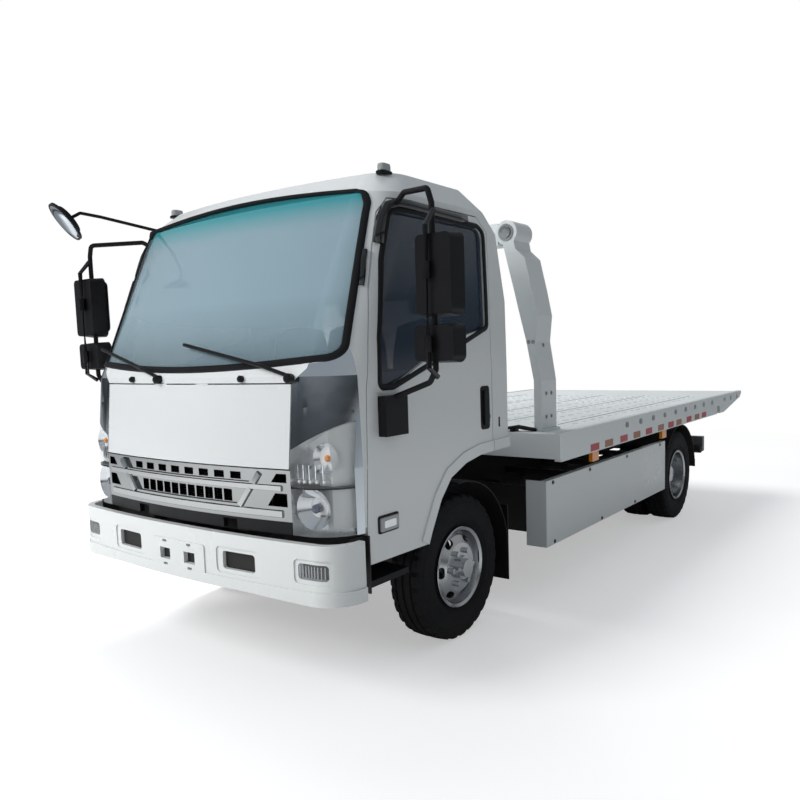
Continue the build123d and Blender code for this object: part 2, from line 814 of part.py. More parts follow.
with BuildPart() as dashboard:
    with BuildSketch(SIDE):
        with BuildLine():
            Polyline(
                (FIREWALL_X - FIT, 1000),
                (FIREWALL_X - FIT, 1425),
                (FIREWALL_X - 130, 1460),
                (FIREWALL_X - 330, 1400),
                (FIREWALL_X - 360, 1280),
                (FIREWALL_X - 300, 1120),
                (FIREWALL_X - 160, 1000),
                close=True,
            )
        make_face()
    extrude(amount=1000, both=True)
    add(CABIN, mode=Mode.INTERSECT)
    add(door_sweep.part, mode=Mode.SUBTRACT)
save(dashboard, "dashboard")

WHEEL_CENTRE = Vector(ax(395.0), 480.0, 1440.0)
STEER_LEAN = 28.0
COLUMN_LENGTH = (WHEEL_CENTRE.Z - FLOOR_FRONT_Z - FLOOR_THICKNESS / 2) / cos(radians(STEER_LEAN)) - 25
with BuildPart() as steering_wheel:
    with BuildSketch(
        Plane(
            origin=WHEEL_CENTRE, x_dir=(0, 1, 0),
            z_dir=(sin(radians(STEER_LEAN)), 0, -cos(radians(STEER_LEAN))),
        )
    ):
        Circle(75)
    extrude(amount=50)
    with Locations(
        Plane(
            origin=WHEEL_CENTRE, x_dir=(0, 1, 0),
            z_dir=(sin(radians(STEER_LEAN)), 0, -cos(radians(STEER_LEAN))),
        )
    ):
        Torus(205, 15)
        for spoke in (0, 120, 240):
            with Locations(Location((0, 0, 12), (0, 0, spoke + 90))):
                with Locations((100, 0)):
                    Box(200, 34, 16)
        with Locations((0, 0, COLUMN_LENGTH / 2 + 25)):
            Cylinder(28, COLUMN_LENGTH)
    add(dashboard.part, mode=Mode.SUBTRACT)
    add(cab_floor.part, mode=Mode.SUBTRACT)
save(steering_wheel, "steering_wheel")

# Front bumper: bowed beam with wrapped ends, two recess openings and lamp pockets
def bumper_form(inset):
    with BuildPart() as form:
        with BuildSketch(Plane.XY.offset(BUMPER_BOTTOM - 10)):
            with BuildLine():
                shoulder = ax(BUMPER_FRONT - BUMPER_BOW - inset)
                flat = BUMPER_HALF - BUMPER_CORNER
                radius = BUMPER_CORNER - inset
                bulge = radius * sin(radians(45))
                width = BUMPER_HALF - inset
                ThreePointArc((shoulder, -flat), (ax(BUMPER_FRONT - inset), 0), (shoulder, flat))
                for side in (1, -1):
                    ThreePointArc(
                        (shoulder, side * flat),
                        (shoulder - radius + bulge, side * (flat + bulge)),
                        (shoulder - radius, side * width),
                    )
                    Line((shoulder - radius, side * width), (ax(BUMPER_REAR - inset), side * width))
                Line((ax(BUMPER_REAR - inset), width), (ax(BUMPER_REAR - inset), -width))
            make_face()
        extrude(amount=BUMPER_TOP - BUMPER_BOTTOM + 20)
    return form.part


TOW_HOLE_Y = 425.0
TOW_HOLE = (205.0, 84.0)
TOW_HOLE_Z = 603.0
CREASE_Z = 524.0
CREASE_STEP = 7.0
RECESS = 13.0
RECESS_RIM = 38.0
PLATE_HALF = 205.0
PLATE_LOW = 497.0
PLATE_HIGH = 657.0
PLATE_INSET = 1.0
FOG_Y = 850.0
FOG_SIZE = (150.0, 70.0)
FOG_Z = 607.0
PLATE_WINDOW_Y = 95.0
PLATE_WINDOW_Z = 580.0
PLATE_WINDOW = (82.0, 56.0)
PLATE_SLOT = (34.0, 13.0)
PLATE_SLOT_Z = (528.0, 643.0)
with BuildPart() as plate_panel:
    add(bumper_form(PLATE_INSET))
    add(bumper_form(BUMPER_WALL), mode=Mode.SUBTRACT)
    with BuildSketch(Plane.YZ.offset(ax(BUMPER_REAR))):
        with Locations((0, (PLATE_LOW + PLATE_HIGH) / 2)):
            RectangleRounded(2 * PLATE_HALF, PLATE_HIGH - PLATE_LOW, 12)
    extrude(amount=400, mode=Mode.INTERSECT)
with BuildPart() as face_step:
    add(bumper_form(0))
    add(bumper_form(CREASE_STEP), mode=Mode.SUBTRACT)
    with BuildSketch(Plane.XY.offset(CREASE_Z)):
        with Locations((ax(BUMPER_REAR), 0)):
            Rectangle(1400, 2400)
    extrude(amount=BUMPER_TOP, mode=Mode.INTERSECT)
with BuildPart() as bumper_pockets:
    add(bumper_form(CREASE_STEP - 1))
    add(bumper_form(RECESS), mode=Mode.SUBTRACT)
    with BuildSketch(Plane.YZ.offset(ax(BUMPER_REAR))):
        for side in (1, -1):
            with Locations((side * TOW_HOLE_Y, TOW_HOLE_Z)):
                RectangleRounded(TOW_HOLE[0] + 2 * RECESS_RIM, TOW_HOLE[1] + RECESS_RIM, 22)
            with Locations((side * FOG_Y, FOG_Z)):
                RectangleRounded(FOG_SIZE[0] + RECESS_RIM, FOG_SIZE[1] + RECESS_RIM, 22)
    extrude(amount=400, mode=Mode.INTERSECT)
with BuildPart() as front_bumper:
    add(bumper_form(0))
    add(bumper_form(BUMPER_WALL), mode=Mode.SUBTRACT)
    with BuildSketch(Plane.YZ.offset(ax(BUMPER_REAR) - 20)):
        with BuildLine():
            Polyline(
                (-BUMPER_HALF - 10, BUMPER_BOTTOM - 8),
                (-BUMPER_HALF + 200, BUMPER_BOTTOM - 8),
                (-500, BUMPER_BOTTOM + 4),
                (500, BUMPER_BOTTOM + 4),
                (BUMPER_HALF - 200, BUMPER_BOTTOM - 8),
                (BUMPER_HALF + 10, BUMPER_BOTTOM - 8),
                (BUMPER_HALF + 10, BUMPER_TOP - 4),
                (0, BUMPER_TOP),
                (-BUMPER_HALF - 10, BUMPER_TOP - 4),
                close=True,
            )
        make_face()
    extrude(amount=400, mode=Mode.INTERSECT)
    for side in (1, -1):
        with BuildSketch(Plane.YZ.offset(ax(BUMPER_REAR))):
            with Locations((side * TOW_HOLE_Y, TOW_HOLE_Z)):
                RectangleRounded(TOW_HOLE[0], TOW_HOLE[1], 16)
            with Locations((side * FOG_Y, FOG_Z)):
                RectangleRounded(FOG_SIZE[0], FOG_SIZE[1], 16)
        extrude(amount=400, mode=Mode.SUBTRACT)
    # the face steps back above the crease, and sinks round the openings
    add(face_step.part, mode=Mode.SUBTRACT)
    add(bumper_pockets.part, mode=Mode.SUBTRACT)
    # plate bracket: a raised panel with two square windows and four slots
    add(plate_panel.part)
    with BuildSketch(Plane.YZ.offset(ax(BUMPER_REAR))):
        for side in (1, -1):
            with Locations((side * PLATE_WINDOW_Y, PLATE_WINDOW_Z)):
                Rectangle(PLATE_WINDOW[0], PLATE_WINDOW[1])
            for z in PLATE_SLOT_Z:
                with Locations((side * PLATE_WINDOW_Y, z)):
                    SlotOverall(PLATE_SLOT[0], PLATE_SLOT[1])
    extrude(amount=400, mode=Mode.SUBTRACT)
    # brackets back to the frame rails
    for side in (1, -1):
        box(
            RAIL_FRONT_X - 60,
            ax(BUMPER_FRONT) - BUMPER_WALL - 5,
            side * (RAIL_OUTER_Y + FIT),
            side * (RAIL_OUTER_Y + 12),
            BUMPER_BOTTOM + 60,
            BUMPER_TOP - 55,
        )
save(front_bumper, "front_bumper")

with BuildPart() as fog_lamps:
    for side in (1, -1):
        with BuildSketch(Plane.YZ.offset(ax(BUMPER_REAR))):
            with Locations((side * FOG_Y, FOG_Z)):
                RectangleRounded(FOG_SIZE[0] - 2 * FIT, FOG_SIZE[1] - 2 * FIT, 16)
        extrude(amount=400)
    add(bumper_form(12), mode=Mode.INTERSECT)
    add(bumper_form(12 + BUMPER_WALL), mode=Mode.SUBTRACT)
save(fog_lamps, "fog_lamps")

# Frame rails open inwards, with round crossmembers between them
with BuildPart() as frame_rails:
    for side in (1, -1):
        box(
            RAIL_REAR_X, RAIL_FRONT_X, side * RAIL_INNER_Y, side * RAIL_OUTER_Y,
            RAIL_TOP - RAIL_HEIGHT, RAIL_TOP,
        )
        box(
            RAIL_REAR_X - 1,
            RAIL_FRONT_X + 1,
            side * (RAIL_INNER_Y - 1),
            side * (RAIL_OUTER_Y - RAIL_WALL),
            RAIL_TOP - RAIL_HEIGHT + RAIL_WALL,
            RAIL_TOP - RAIL_WALL,
            mode=Mode.SUBTRACT,
        )
        # plates and pins that the bed turns on
        plate_y = side * (SUBFRAME_Y + SUBFRAME_WIDTH / 2 + RUNNING_GAP)
        box(
            BED_HINGE_X - 50, BED_HINGE_X + 50, plate_y, plate_y + side * 14, RAIL_TOP - 120,
            BED_HINGE_Z + 45,
        )
        box(
            BED_HINGE_X - 50, BED_HINGE_X + 50, side * (RAIL_OUTER_Y - 1), plate_y + side,
            RAIL_TOP - 120, RAIL_TOP - 20,
        )
        cross_rod(
            BED_HINGE_X, BED_HINGE_Z, side * (SUBFRAME_Y - SUBFRAME_WIDTH / 2 - 10),
            plate_y + side * 14, BED_PIN_RADIUS,
        )
save(frame_rails, "frame_rails")

CROSSMEMBERS = [
    # x, height of the middle, radius
    (RAIL_FRONT_X - 60.0, 650.0, 40.0),
    (700.0, 705.0, 26.0),
    (TILT_BASE_X + 80.0, TILT_BASE_Z, 32.0),
    (-820.0, 594.0, 26.0),
    (-1980.0, 650.0, 40.0),
    (-2470.0, 650.0, 40.0),
]
with BuildPart() as crossmembers:
    for member_x, member_z, member_radius in CROSSMEMBERS:
        member_half = RAIL_OUTER_Y - RAIL_WALL
        cross_rod(member_x, member_z, -member_half, member_half, member_radius)
    # cheeks for the feet of the tilt cylinders
    for side in (1, -1):
        for cheek in (1, -1):
            plate_y = side * TILT_CYL_Y + cheek * CYL_CHEEK_Y
            box(
                TILT_BASE_X - 30, TILT_BASE_X + 80, plate_y - 5, plate_y + 5, TILT_BASE_Z - 28,
                TILT_BASE_Z + 28,
            )
        cross_rod(
            TILT_BASE_X, TILT_BASE_Z, side * TILT_CYL_Y - CYL_CHEEK_Y, side * TILT_CYL_Y + CYL_CHEEK_Y,
            CYL_PIN_RADIUS,
        )
    # hanger for the wheel lift
    for side in (1, -1):
        box(LIFT_HINGE_X - 60, LIFT_HINGE_X + 40, side * 62, side * 76, LIFT_Z - 40, RAIL_TOP - 20)
        box(LIFT_HINGE_X - 170, LIFT_HINGE_X - 50, side * 62, side * 76, 630, 670)
    cross_rod(LIFT_HINGE_X, LIFT_Z, -76, 76, LIFT_PIN_RADIUS)
    box(LIFT_HINGE_X - 20, LIFT_HINGE_X + 20, -member_half, member_half, RAIL_TOP - 60, RAIL_TOP - 20)
save(crossmembers, "crossmembers")

# Drive line
ENGINE = (ax(-560.0), ax(230.0), 260.0, 470.0, 930.0)
with BuildPart() as engine:
    box(ENGINE[0], ENGINE[1], -ENGINE[2], ENGINE[2], ENGINE[3], ENGINE[4])
    chamfer(engine.edges().filter_by(Axis.X), 60)
GEARBOX_REAR_X = ENGINE[0] - 560.0
with BuildPart() as gearbox:
    with BuildSketch(Plane.YZ.offset(ENGINE[0])):
        with Locations((0, 640)):
            Circle(200)
    with BuildSketch(Plane.YZ.offset(GEARBOX_REAR_X)):
        with Locations((0, 640)):
            Circle(95)
    loft(ruled=True)

REAR_SPRING_Y = 470.0
SPRING_WIDTH = 70.0
AXLE_TUBE = 55.0
DIFF_RADIUS = 165.0
SHAFT_RADIUS = 38.0
with BuildPart() as prop_shaft:
    shaft_front = Vector(GEARBOX_REAR_X, 0, 640)
    shaft_rear = Vector(REAR_AXLE_X + DIFF_RADIUS, 0, TYRE_RADIUS + 10)
    with BuildSketch(Plane(origin=shaft_front, z_dir=shaft_rear - shaft_front)):
        Circle(SHAFT_RADIUS)
    extrude(amount=(shaft_rear - shaft_front).length)
with BuildPart() as drive_line:
    add(engine.part)
    add(gearbox.part)
    add(prop_shaft.part)
save(drive_line, "drive_line")

with BuildPart() as rear_axle:
    cross_rod(REAR_AXLE_X, TYRE_RADIUS, -560, 560, AXLE_TUBE)
    with Locations((REAR_AXLE_X, 0, TYRE_RADIUS)):
        Sphere(DIFF_RADIUS)
    cross_rod(REAR_AXLE_X, TYRE_RADIUS, -900, 900, 30)


def leaf_pack(axle_x, y, seat_z, half_length, leaves, rise):
    """Bowed pack of leaves with hangers that reach the frame rail."""
    with BuildPart() as pack:
        with BuildSketch(SIDE.offset(-(y - SPRING_WIDTH / 2))):
            with BuildLine():
                thickness = 12.0
                ThreePointArc(
                    (axle_x - half_length, seat_z + rise), (axle_x, seat_z),
                    (axle_x + half_length, seat_z + rise),
                )
                Line(
                    (axle_x + half_length, seat_z + rise),
                    (axle_x + half_length, seat_z + rise + thickness * 2),
                )
                ThreePointArc(
                    (axle_x + half_length, seat_z + rise + thickness * 2),
                    (axle_x, seat_z + thickness * leaves),
                    (axle_x - half_length, seat_z + rise + thickness * 2),
                )
                Line(
                    (axle_x - half_length, seat_z + rise + thickness * 2),
                    (axle_x - half_length, seat_z + rise),
                )
            make_face()
        extrude(amount=-SPRING_WIDTH)
    return pack.part


FRONT_SPRING_Y = 345.0
FRONT_BEAM_TOP = 400.0
FRONT_SPRING_HALF = 560.0
REAR_SPRING_HALF = 620.0
with BuildPart() as front_springs:
    for side in (1, -1):
        add(
            leaf_pack(
                FRONT_AXLE_X, side * FRONT_SPRING_Y, FRONT_BEAM_TOP + FIT, FRONT_SPRING_HALF, 5, 90,
            )
        )
        for end in (1, -1):
            hanger_x = FRONT_AXLE_X + end * (FRONT_SPRING_HALF - 25)
            box(
                hanger_x - 25, hanger_x + 25, side * (FRONT_SPRING_Y - 30),
                side * (FRONT_SPRING_Y + 27), FRONT_BEAM_TOP + 95, RAIL_TOP - RAIL_HEIGHT - FIT,
            )
with BuildPart() as rear_springs:
    for side in (1, -1):
        add(
            leaf_pack(
                REAR_AXLE_X, side * REAR_SPRING_Y, TYRE_RADIUS + AXLE_TUBE + FIT, REAR_SPRING_HALF, 9,
                100,
            )
        )
        for end in (1, -1):
            hanger_x = REAR_AXLE_X + end * (REAR_SPRING_HALF - 25)
            box(
                hanger_x - 25, hanger_x + 25, side * (RAIL_OUTER_Y + FIT), side * (REAR_SPRING_Y + 30),
                TYRE_RADIUS + AXLE_TUBE + 105, RAIL_TOP - 40,
            )
with BuildPart() as rear_axle_springs:
    add(rear_axle.part)
    add(rear_springs.part)
    for side in (1, -1):
        box(
            REAR_AXLE_X - 60, REAR_AXLE_X + 60, side * (REAR_SPRING_Y - 40),
            side * (REAR_SPRING_Y + 40), TYRE_RADIUS, TYRE_RADIUS + AXLE_TUBE + 8,
        )
save(rear_axle_springs, "rear_axle")

# Front axle beam and its kingpin ends, with the springs on it
BEAM_HALF = KINGPIN_Y - 60.0
BEAM_EYE = 34.0
BEAM_EYE_HEIGHT = 90.0
with BuildPart() as front_axle:
    box(FRONT_AXLE_X - 35, FRONT_AXLE_X + 35, -BEAM_HALF, BEAM_HALF, FRONT_BEAM_TOP - 85, FRONT_BEAM_TOP + 2)
    for face_x in (-36, 8):
        box(
            FRONT_AXLE_X + face_x, FRONT_AXLE_X + face_x + 28, -BEAM_HALF + 40, BEAM_HALF - 40,
            FRONT_BEAM_TOP - 65, FRONT_BEAM_TOP - 20, mode=Mode.SUBTRACT,
        )
    add(front_springs.part)
    for side in (1, -1):
        box(
            FRONT_AXLE_X - 25, FRONT_AXLE_X + 25, side * (BEAM_HALF - 20), side * KINGPIN_Y,
            TYRE_RADIUS - 30, TYRE_RADIUS + 30,
        )
        with Locations((FRONT_AXLE_X, side * KINGPIN_Y, TYRE_RADIUS)):
            Cylinder(BEAM_EYE, BEAM_EYE_HEIGHT)
    for side in (1, -1):
        with Locations((FRONT_AXLE_X, side * KINGPIN_Y, TYRE_RADIUS)):
            Cylinder(KINGPIN_RADIUS + FIT, BEAM_EYE_HEIGHT + 2, mode=Mode.SUBTRACT)
save(front_axle, "front_axle")

# Steering knuckles with their kingpins, arms and hub spindles
ARM_REACH = 150.0
TIE_ROD_RADIUS = 14.0
ARM_TOP = TYRE_RADIUS - 60.0
SPINDLE_END_Y = FRONT_WHEEL_Y + 60.0
LUG = 22.0
with BuildPart() as knuckle_left:
    with Locations((FRONT_AXLE_X, KINGPIN_Y, TYRE_RADIUS)):
        Cylinder(KINGPIN_RADIUS, BEAM_EYE_HEIGHT + 2 * LUG + 10)
    for end in (1, -1):
        lug_z = TYRE_RADIUS + end * (BEAM_EYE_HEIGHT / 2 + LUG / 2 + FIT)
        box(
            FRONT_AXLE_X - 30, FRONT_AXLE_X + 30, KINGPIN_Y - 30, KINGPIN_Y + 62, lug_z - LUG / 2,
            lug_z + LUG / 2,
        )
    box(
        FRONT_AXLE_X - 45,
        FRONT_AXLE_X + 45,
        KINGPIN_Y + BEAM_EYE + 6,
        KINGPIN_Y + 62,
        TYRE_RADIUS - BEAM_EYE_HEIGHT / 2 - LUG,
        TYRE_RADIUS + BEAM_EYE_HEIGHT / 2 + LUG,
    )
    cross_rod(FRONT_AXLE_X, TYRE_RADIUS, KINGPIN_Y + 50, SPINDLE_END_Y, SPINDLE_RADIUS)
    cross_rod(FRONT_AXLE_X, TYRE_RADIUS, KINGPIN_Y + 50, KINGPIN_Y + 62, 165)
    box(
        FRONT_AXLE_X - ARM_REACH - 15, FRONT_AXLE_X - 20, KINGPIN_Y - 20, KINGPIN_Y + 10, ARM_TOP - 24,
        ARM_TOP,
    )
save(knuckle_left, "knuckle_left")
with BuildPart() as knuckle_right:
    mirror(knuckle_left.part, about=Plane.XZ)
save(knuckle_right, "knuckle_right")
with BuildPart() as tie_rod:
    cross_rod(
        FRONT_AXLE_X - ARM_REACH, ARM_TOP + TIE_ROD_RADIUS + FIT, -KINGPIN_Y - 20, KINGPIN_Y + 20,
        TIE_ROD_RADIUS,
    )
save(tie_rod, "tie_rod")


def tyre_body(wheel_x, wheel_y):
    """Tyre about its own axle, with straight tread and rounded shoulders."""
    half = TYRE_WIDTH / 2
    with BuildPart() as tyre:
        with BuildSketch(Plane(origin=(wheel_x, wheel_y, TYRE_RADIUS), x_dir=(0, 1, 0), z_dir=(1, 0, 0))):
            with BuildLine():
                Polyline(
                    (-half + 26, TYRE_BORE),
                    (-half + 20, TYRE_BORE + 20),
                    (-half, TYRE_BORE + 58),
                    (-half, TYRE_RADIUS - 62),
                    (-half + 14, TYRE_RADIUS - 18),
                    (-half + 40, TYRE_RADIUS - 2),
                    (0, TYRE_RADIUS),
                    (half - 40, TYRE_RADIUS - 2),
                    (half - 14, TYRE_RADIUS - 18),
                    (half, TYRE_RADIUS - 62),
                    (half, TYRE_BORE + 58),
                    (half - 20, TYRE_BORE + 20),
                    (half - 26, TYRE_BORE),
                    close=True,
                )
            make_face()
        revolve(axis=Axis((wheel_x, wheel_y, TYRE_RADIUS), (0, 1, 0)))
    return tyre.part


def rim_body(wheel_x, wheel_y, facing, hub_bore, nuts=True):
    """Pressed wheel with its disc bulging towards facing, hand holes, hub and nuts."""
    disc_y = 92.0
    half = RIM_WIDTH / 2
    bore = TYRE_BORE - FIT
    frame = Plane(origin=(wheel_x, wheel_y, TYRE_RADIUS), x_dir=(0, facing, 0), z_dir=(facing, 0, 0))
    face = Plane(origin=(wheel_x, wheel_y, TYRE_RADIUS), x_dir=(facing, 0, 0), z_dir=(0, facing, 0))
    spin = Axis((wheel_x, wheel_y, TYRE_RADIUS), (0, 1, 0))
    with BuildPart() as rim:
        with BuildSketch(frame):
            with BuildLine():
                Polyline(
                    (-half, bore - RIM_WALL),
                    (-half - 8, RIM_FLANGE_RADIUS - 8),
                    (-half - 4, RIM_FLANGE_RADIUS - 4),
                    (-half + 6, bore),
                    (half - 6, bore),
                    (half + 4, RIM_FLANGE_RADIUS - 4),
                    (half + 8, RIM_FLANGE_RADIUS - 8),
                    (half, bore - RIM_WALL),
                    (40, bore - RIM_WALL),
                    (disc_y - 22, 168),
                    (disc_y, 128),
                    (disc_y, HUB_RADIUS - 10),
                    (disc_y - 12, HUB_RADIUS - 10),
                    (disc_y - 12, 122),
                    (disc_y - 34, 160),
                    (20, bore - RIM_WALL),
                    close=True,
                )
            make_face()
        revolve(axis=spin)
        # hand holes round the slope of the disc
        with BuildSketch(face.offset(0)):
            with PolarLocations(156, HAND_HOLES):
                SlotOverall(62, 34, rotation=90)
        extrude(amount=disc_y + 20, mode=Mode.SUBTRACT)
        # hub, closed by its cap, and the wheel nuts
        with BuildSketch(face.offset(-20)):
            Circle(HUB_RADIUS)
        extrude(amount=disc_y + 48)
        with BuildSketch(face.offset(disc_y + 28)):
            Circle(HUB_RADIUS - 14)
        extrude(amount=22)
        if nuts:
            with BuildSketch(face.offset(disc_y)):
                with PolarLocations(STUD_CIRCLE, WHEEL_STUDS):
                    RegularPolygon(15, 6)
            extrude(amount=22)
        if hub_bore:
            with BuildSketch(face.offset(-30)):
                Circle(SPINDLE_RADIUS + FIT)
            extrude(amount=SPINDLE_END_Y - FRONT_WHEEL_Y + 30 + 10, mode=Mode.SUBTRACT)
    return rim.part


for wheel_name, side in (("front_left", 1), ("front_right", -1)):
    with BuildPart() as tyre:
        add(tyre_body(FRONT_AXLE_X, side * FRONT_WHEEL_Y))
    save(tyre, "tyre_" + wheel_name)
    with BuildPart() as rim:
        add(rim_body(FRONT_AXLE_X, side * FRONT_WHEEL_Y, side, True))
    save(rim, "rim_" + wheel_name)

# Twin rear wheels, discs back to back, with a drum on the inside
DRUM_RADIUS = 160.0
for wheel_name, side in (("rear_left", 1), ("rear_right", -1)):
    inner_y = side * (REAR_WHEEL_Y - DUAL_SPACING / 2)
    outer_y = side * (REAR_WHEEL_Y + DUAL_SPACING / 2)
    with BuildPart() as tyre:
        add(tyre_body(REAR_AXLE_X, inner_y))
        add(tyre_body(REAR_AXLE_X, outer_y))
    save(tyre, "tyres_" + wheel_name)
    with BuildPart() as rim:
        add(rim_body(REAR_AXLE_X, inner_y, side, False, False))
        add(rim_body(REAR_AXLE_X, outer_y, -side, False))
        cross_rod(REAR_AXLE_X, TYRE_RADIUS, side * REAR_WHEEL_Y - side * 20, outer_y + side * 40, HUB_RADIUS)
        cross_rod(
            REAR_AXLE_X, TYRE_RADIUS, side * (REAR_WHEEL_Y - DUAL_SPACING / 2 - 80),
            side * REAR_WHEEL_Y, DRUM_RADIUS - 60,
        )
        cross_rod(REAR_AXLE_X, TYRE_RADIUS, side * 560, side * 901, 30 + FIT, mode=Mode.SUBTRACT)
    save(rim, "rims_" + wheel_name)

# Deck: floor sheet, bearers across it and two runners below
TAIL_TIP_Z = DECK_TOP - 46
with BuildPart() as deck_floor:
    with BuildSketch(SIDE):
        with BuildLine():
            Polyline(
                (DECK_FRONT_X, DECK_TOP - DECK_SHEET),
                (TAIL_RISE_X, DECK_TOP - DECK_SHEET),
                (TAIL_X + 30, DECK_TOP - DECK_SHEET - 20),
                (TAIL_X + 2, DECK_TOP - 24),
                (TAIL_X + 2, DECK_TOP - 8),
                (TAIL_X + 20, DECK_TOP),
                (DECK_FRONT_X, DECK_TOP),
                close=True,
            )
        make_face()
    extrude(amount=DECK_HALF, both=True)
    # seam between the load floor and the plate under posts and winch
    box(DECK_SEAM_X - 2, DECK_SEAM_X + 2, -DECK_HALF, DECK_HALF, DECK_TOP - 2, DECK_TOP, mode=Mode.SUBTRACT)
    header_half = DECK_HALF + DECK_RAIL_WIDTH
    box(
        DECK_FRONT_X - DECK_HEADER, DECK_FRONT_X, -header_half, header_half,
        SUBFRAME_TOP + RUNNING_GAP, DECK_TOP,
    )
    for index in range(int((DECK_FRONT_X - TAIL_RISE_X) / BEARER_PITCH)):
        bearer_x = DECK_FRONT_X - BEARER_PITCH / 2 - index * BEARER_PITCH
        box(bearer_x - 25, bearer_x + 25, -DECK_HALF, DECK_HALF, DECK_BEARER_BOTTOM, DECK_TOP - DECK_SHEET)
    for side in (1, -1):
        box(
            TAIL_RISE_X,
            DECK_FRONT_X,
            side * (RUNNER_Y - RUNNER_WIDTH / 2),
            side * (RUNNER_Y + RUNNER_WIDTH / 2),
            SUBFRAME_TOP + FIT,
            DECK_TOP - DECK_SHEET,
        )

with BuildPart() as deck_rails:
    for side in (1, -1):
        rail_front_x = DECK_FRONT_X - DECK_HEADER - FIT
        with BuildSketch(SIDE.offset(-side * DECK_HALF)):
            with BuildLine():
                Polyline(
                    (rail_front_x, DECK_RAIL_BOTTOM),
                    (TAIL_RISE_X, DECK_RAIL_BOTTOM),
                    (TAIL_X + 60, TAIL_TIP_Z - 10),
                    (TAIL_X + 10, DECK_TOP - 24),
                    (TAIL_X, DECK_TOP - 10),
                    (TAIL_X + 20, DECK_RAIL_TOP),
                    (rail_front_x, DECK_RAIL_TOP),
                    close=True,
                )
            make_face()
            with Locations((TAIL_BREAK_X, DECK_RAIL_BOTTOM + 25)):
                Rectangle(TAIL_BREAK, 90, mode=Mode.SUBTRACT)
            for first_x, pitch, count in (
                (RAIL_HOLE_FIRST_X, RAIL_HOLE_PITCH, RAIL_HOLES),
                (TAIL_HOLE_FIRST_X, TAIL_HOLE_PITCH, TAIL_HOLES),
            ):
                for index in range(count):
                    with Locations((first_x - index * pitch, RAIL_HOLE_Z)):
                        SlotOverall(RAIL_HOLE_LENGTH, RAIL_HOLE_HEIGHT, mode=Mode.SUBTRACT)
        extrude(amount=-side * DECK_RAIL_WIDTH)
save(deck_rails, "deck_rails")

# Subframe: two box rails on the chassis, and ties between them
with BuildPart() as subframe_rails:
    for side in (1, -1):
        with BuildSketch(SIDE.offset(-side * (SUBFRAME_Y - SUBFRAME_WIDTH / 2))):
            with BuildLine():
                Polyline(
                    (SUBFRAME_FRONT_X, SUBFRAME_BOTTOM),
                    (BED_HINGE_X, SUBFRAME_BOTTOM),
                    (BED_HINGE_X - 45, BED_HINGE_Z - 32),
                    (BED_HINGE_X - 45, SUBFRAME_TOP - 20),
                    (BED_HINGE_X - 25, SUBFRAME_TOP),
                    (SUBFRAME_FRONT_X, SUBFRAME_TOP),
                    close=True,
                )
            make_face()
            with Locations((BED_HINGE_X, BED_HINGE_Z)):
                Circle(BED_PIN_RADIUS + FIT, mode=Mode.SUBTRACT)
        extrude(amount=-side * SUBFRAME_WIDTH)
save(subframe_rails, "subframe_rails")
TIES = [1080.0, 560.0, 40.0, -480.0, -1100.0, TILT_EYE_X, -2150.0]
TIE_INNER = SUBFRAME_Y - SUBFRAME_WIDTH / 2
SLIDE_CYL_Z = SUBFRAME_TOP - 4 - TIE_DEPTH - SLIDE_BARREL_RADIUS - FIT
SLIDE_BARREL_FRONT_X = 900.0
SLIDE_BARREL_REAR_X = -1900.0
SLIDE_EYE_X = -2200.0
with BuildPart() as subframe_ties:
    for tie_x in TIES:
        box(tie_x - 25, tie_x + 25, -TIE_INNER, TIE_INNER, SUBFRAME_TOP - 4 - TIE_DEPTH, SUBFRAME_TOP - 4)
    # eye plates for the tilt cylinders' rods
    for side in (1, -1):
        for cheek in (1, -1):
            plate_y = side * TILT_CYL_Y + cheek * CYL_CHEEK_Y
            box(
                TILT_EYE_X - 35, TILT_EYE_X + 35, plate_y - 5, plate_y + 5, TILT_EYE_Z - 30,
                SUBFRAME_TOP - 20,
            )
        cross_rod(
            TILT_EYE_X, TILT_EYE_Z, side * TILT_CYL_Y - CYL_CHEEK_Y, side * TILT_CYL_Y + CYL_CHEEK_Y,
            CYL_PIN_RADIUS,
        )
    # barrel of the slide cylinder, below the ties
    with BuildSketch(Plane.YZ.offset(SLIDE_BARREL_REAR_X)):
        with Locations((0, SLIDE_CYL_Z)):
            Circle(SLIDE_BARREL_RADIUS)
            Circle(SLIDE_ROD_RADIUS + FIT, mode=Mode.SUBTRACT)
    extrude(amount=SLIDE_BARREL_FRONT_X - SLIDE_BARREL_REAR_X)
save(subframe_ties, "subframe_ties")

# Rod of the slide cylinder, carried by the deck
with BuildPart() as slide_rod:
    with BuildSketch(Plane.YZ.offset(SLIDE_EYE_X)):
        with Locations((0, SLIDE_CYL_Z)):
            Circle(SLIDE_ROD_RADIUS)
    extrude(amount=SLIDE_BARREL_FRONT_X - 100 - SLIDE_EYE_X)
    box(SLIDE_EYE_X - 40, SLIDE_EYE_X, -30, 30, SLIDE_CYL_Z - SLIDE_ROD_RADIUS, DECK_TOP - DECK_SHEET - FIT)
save(slide_rod, "slide_rod")
save(deck_floor, "deck_floor")

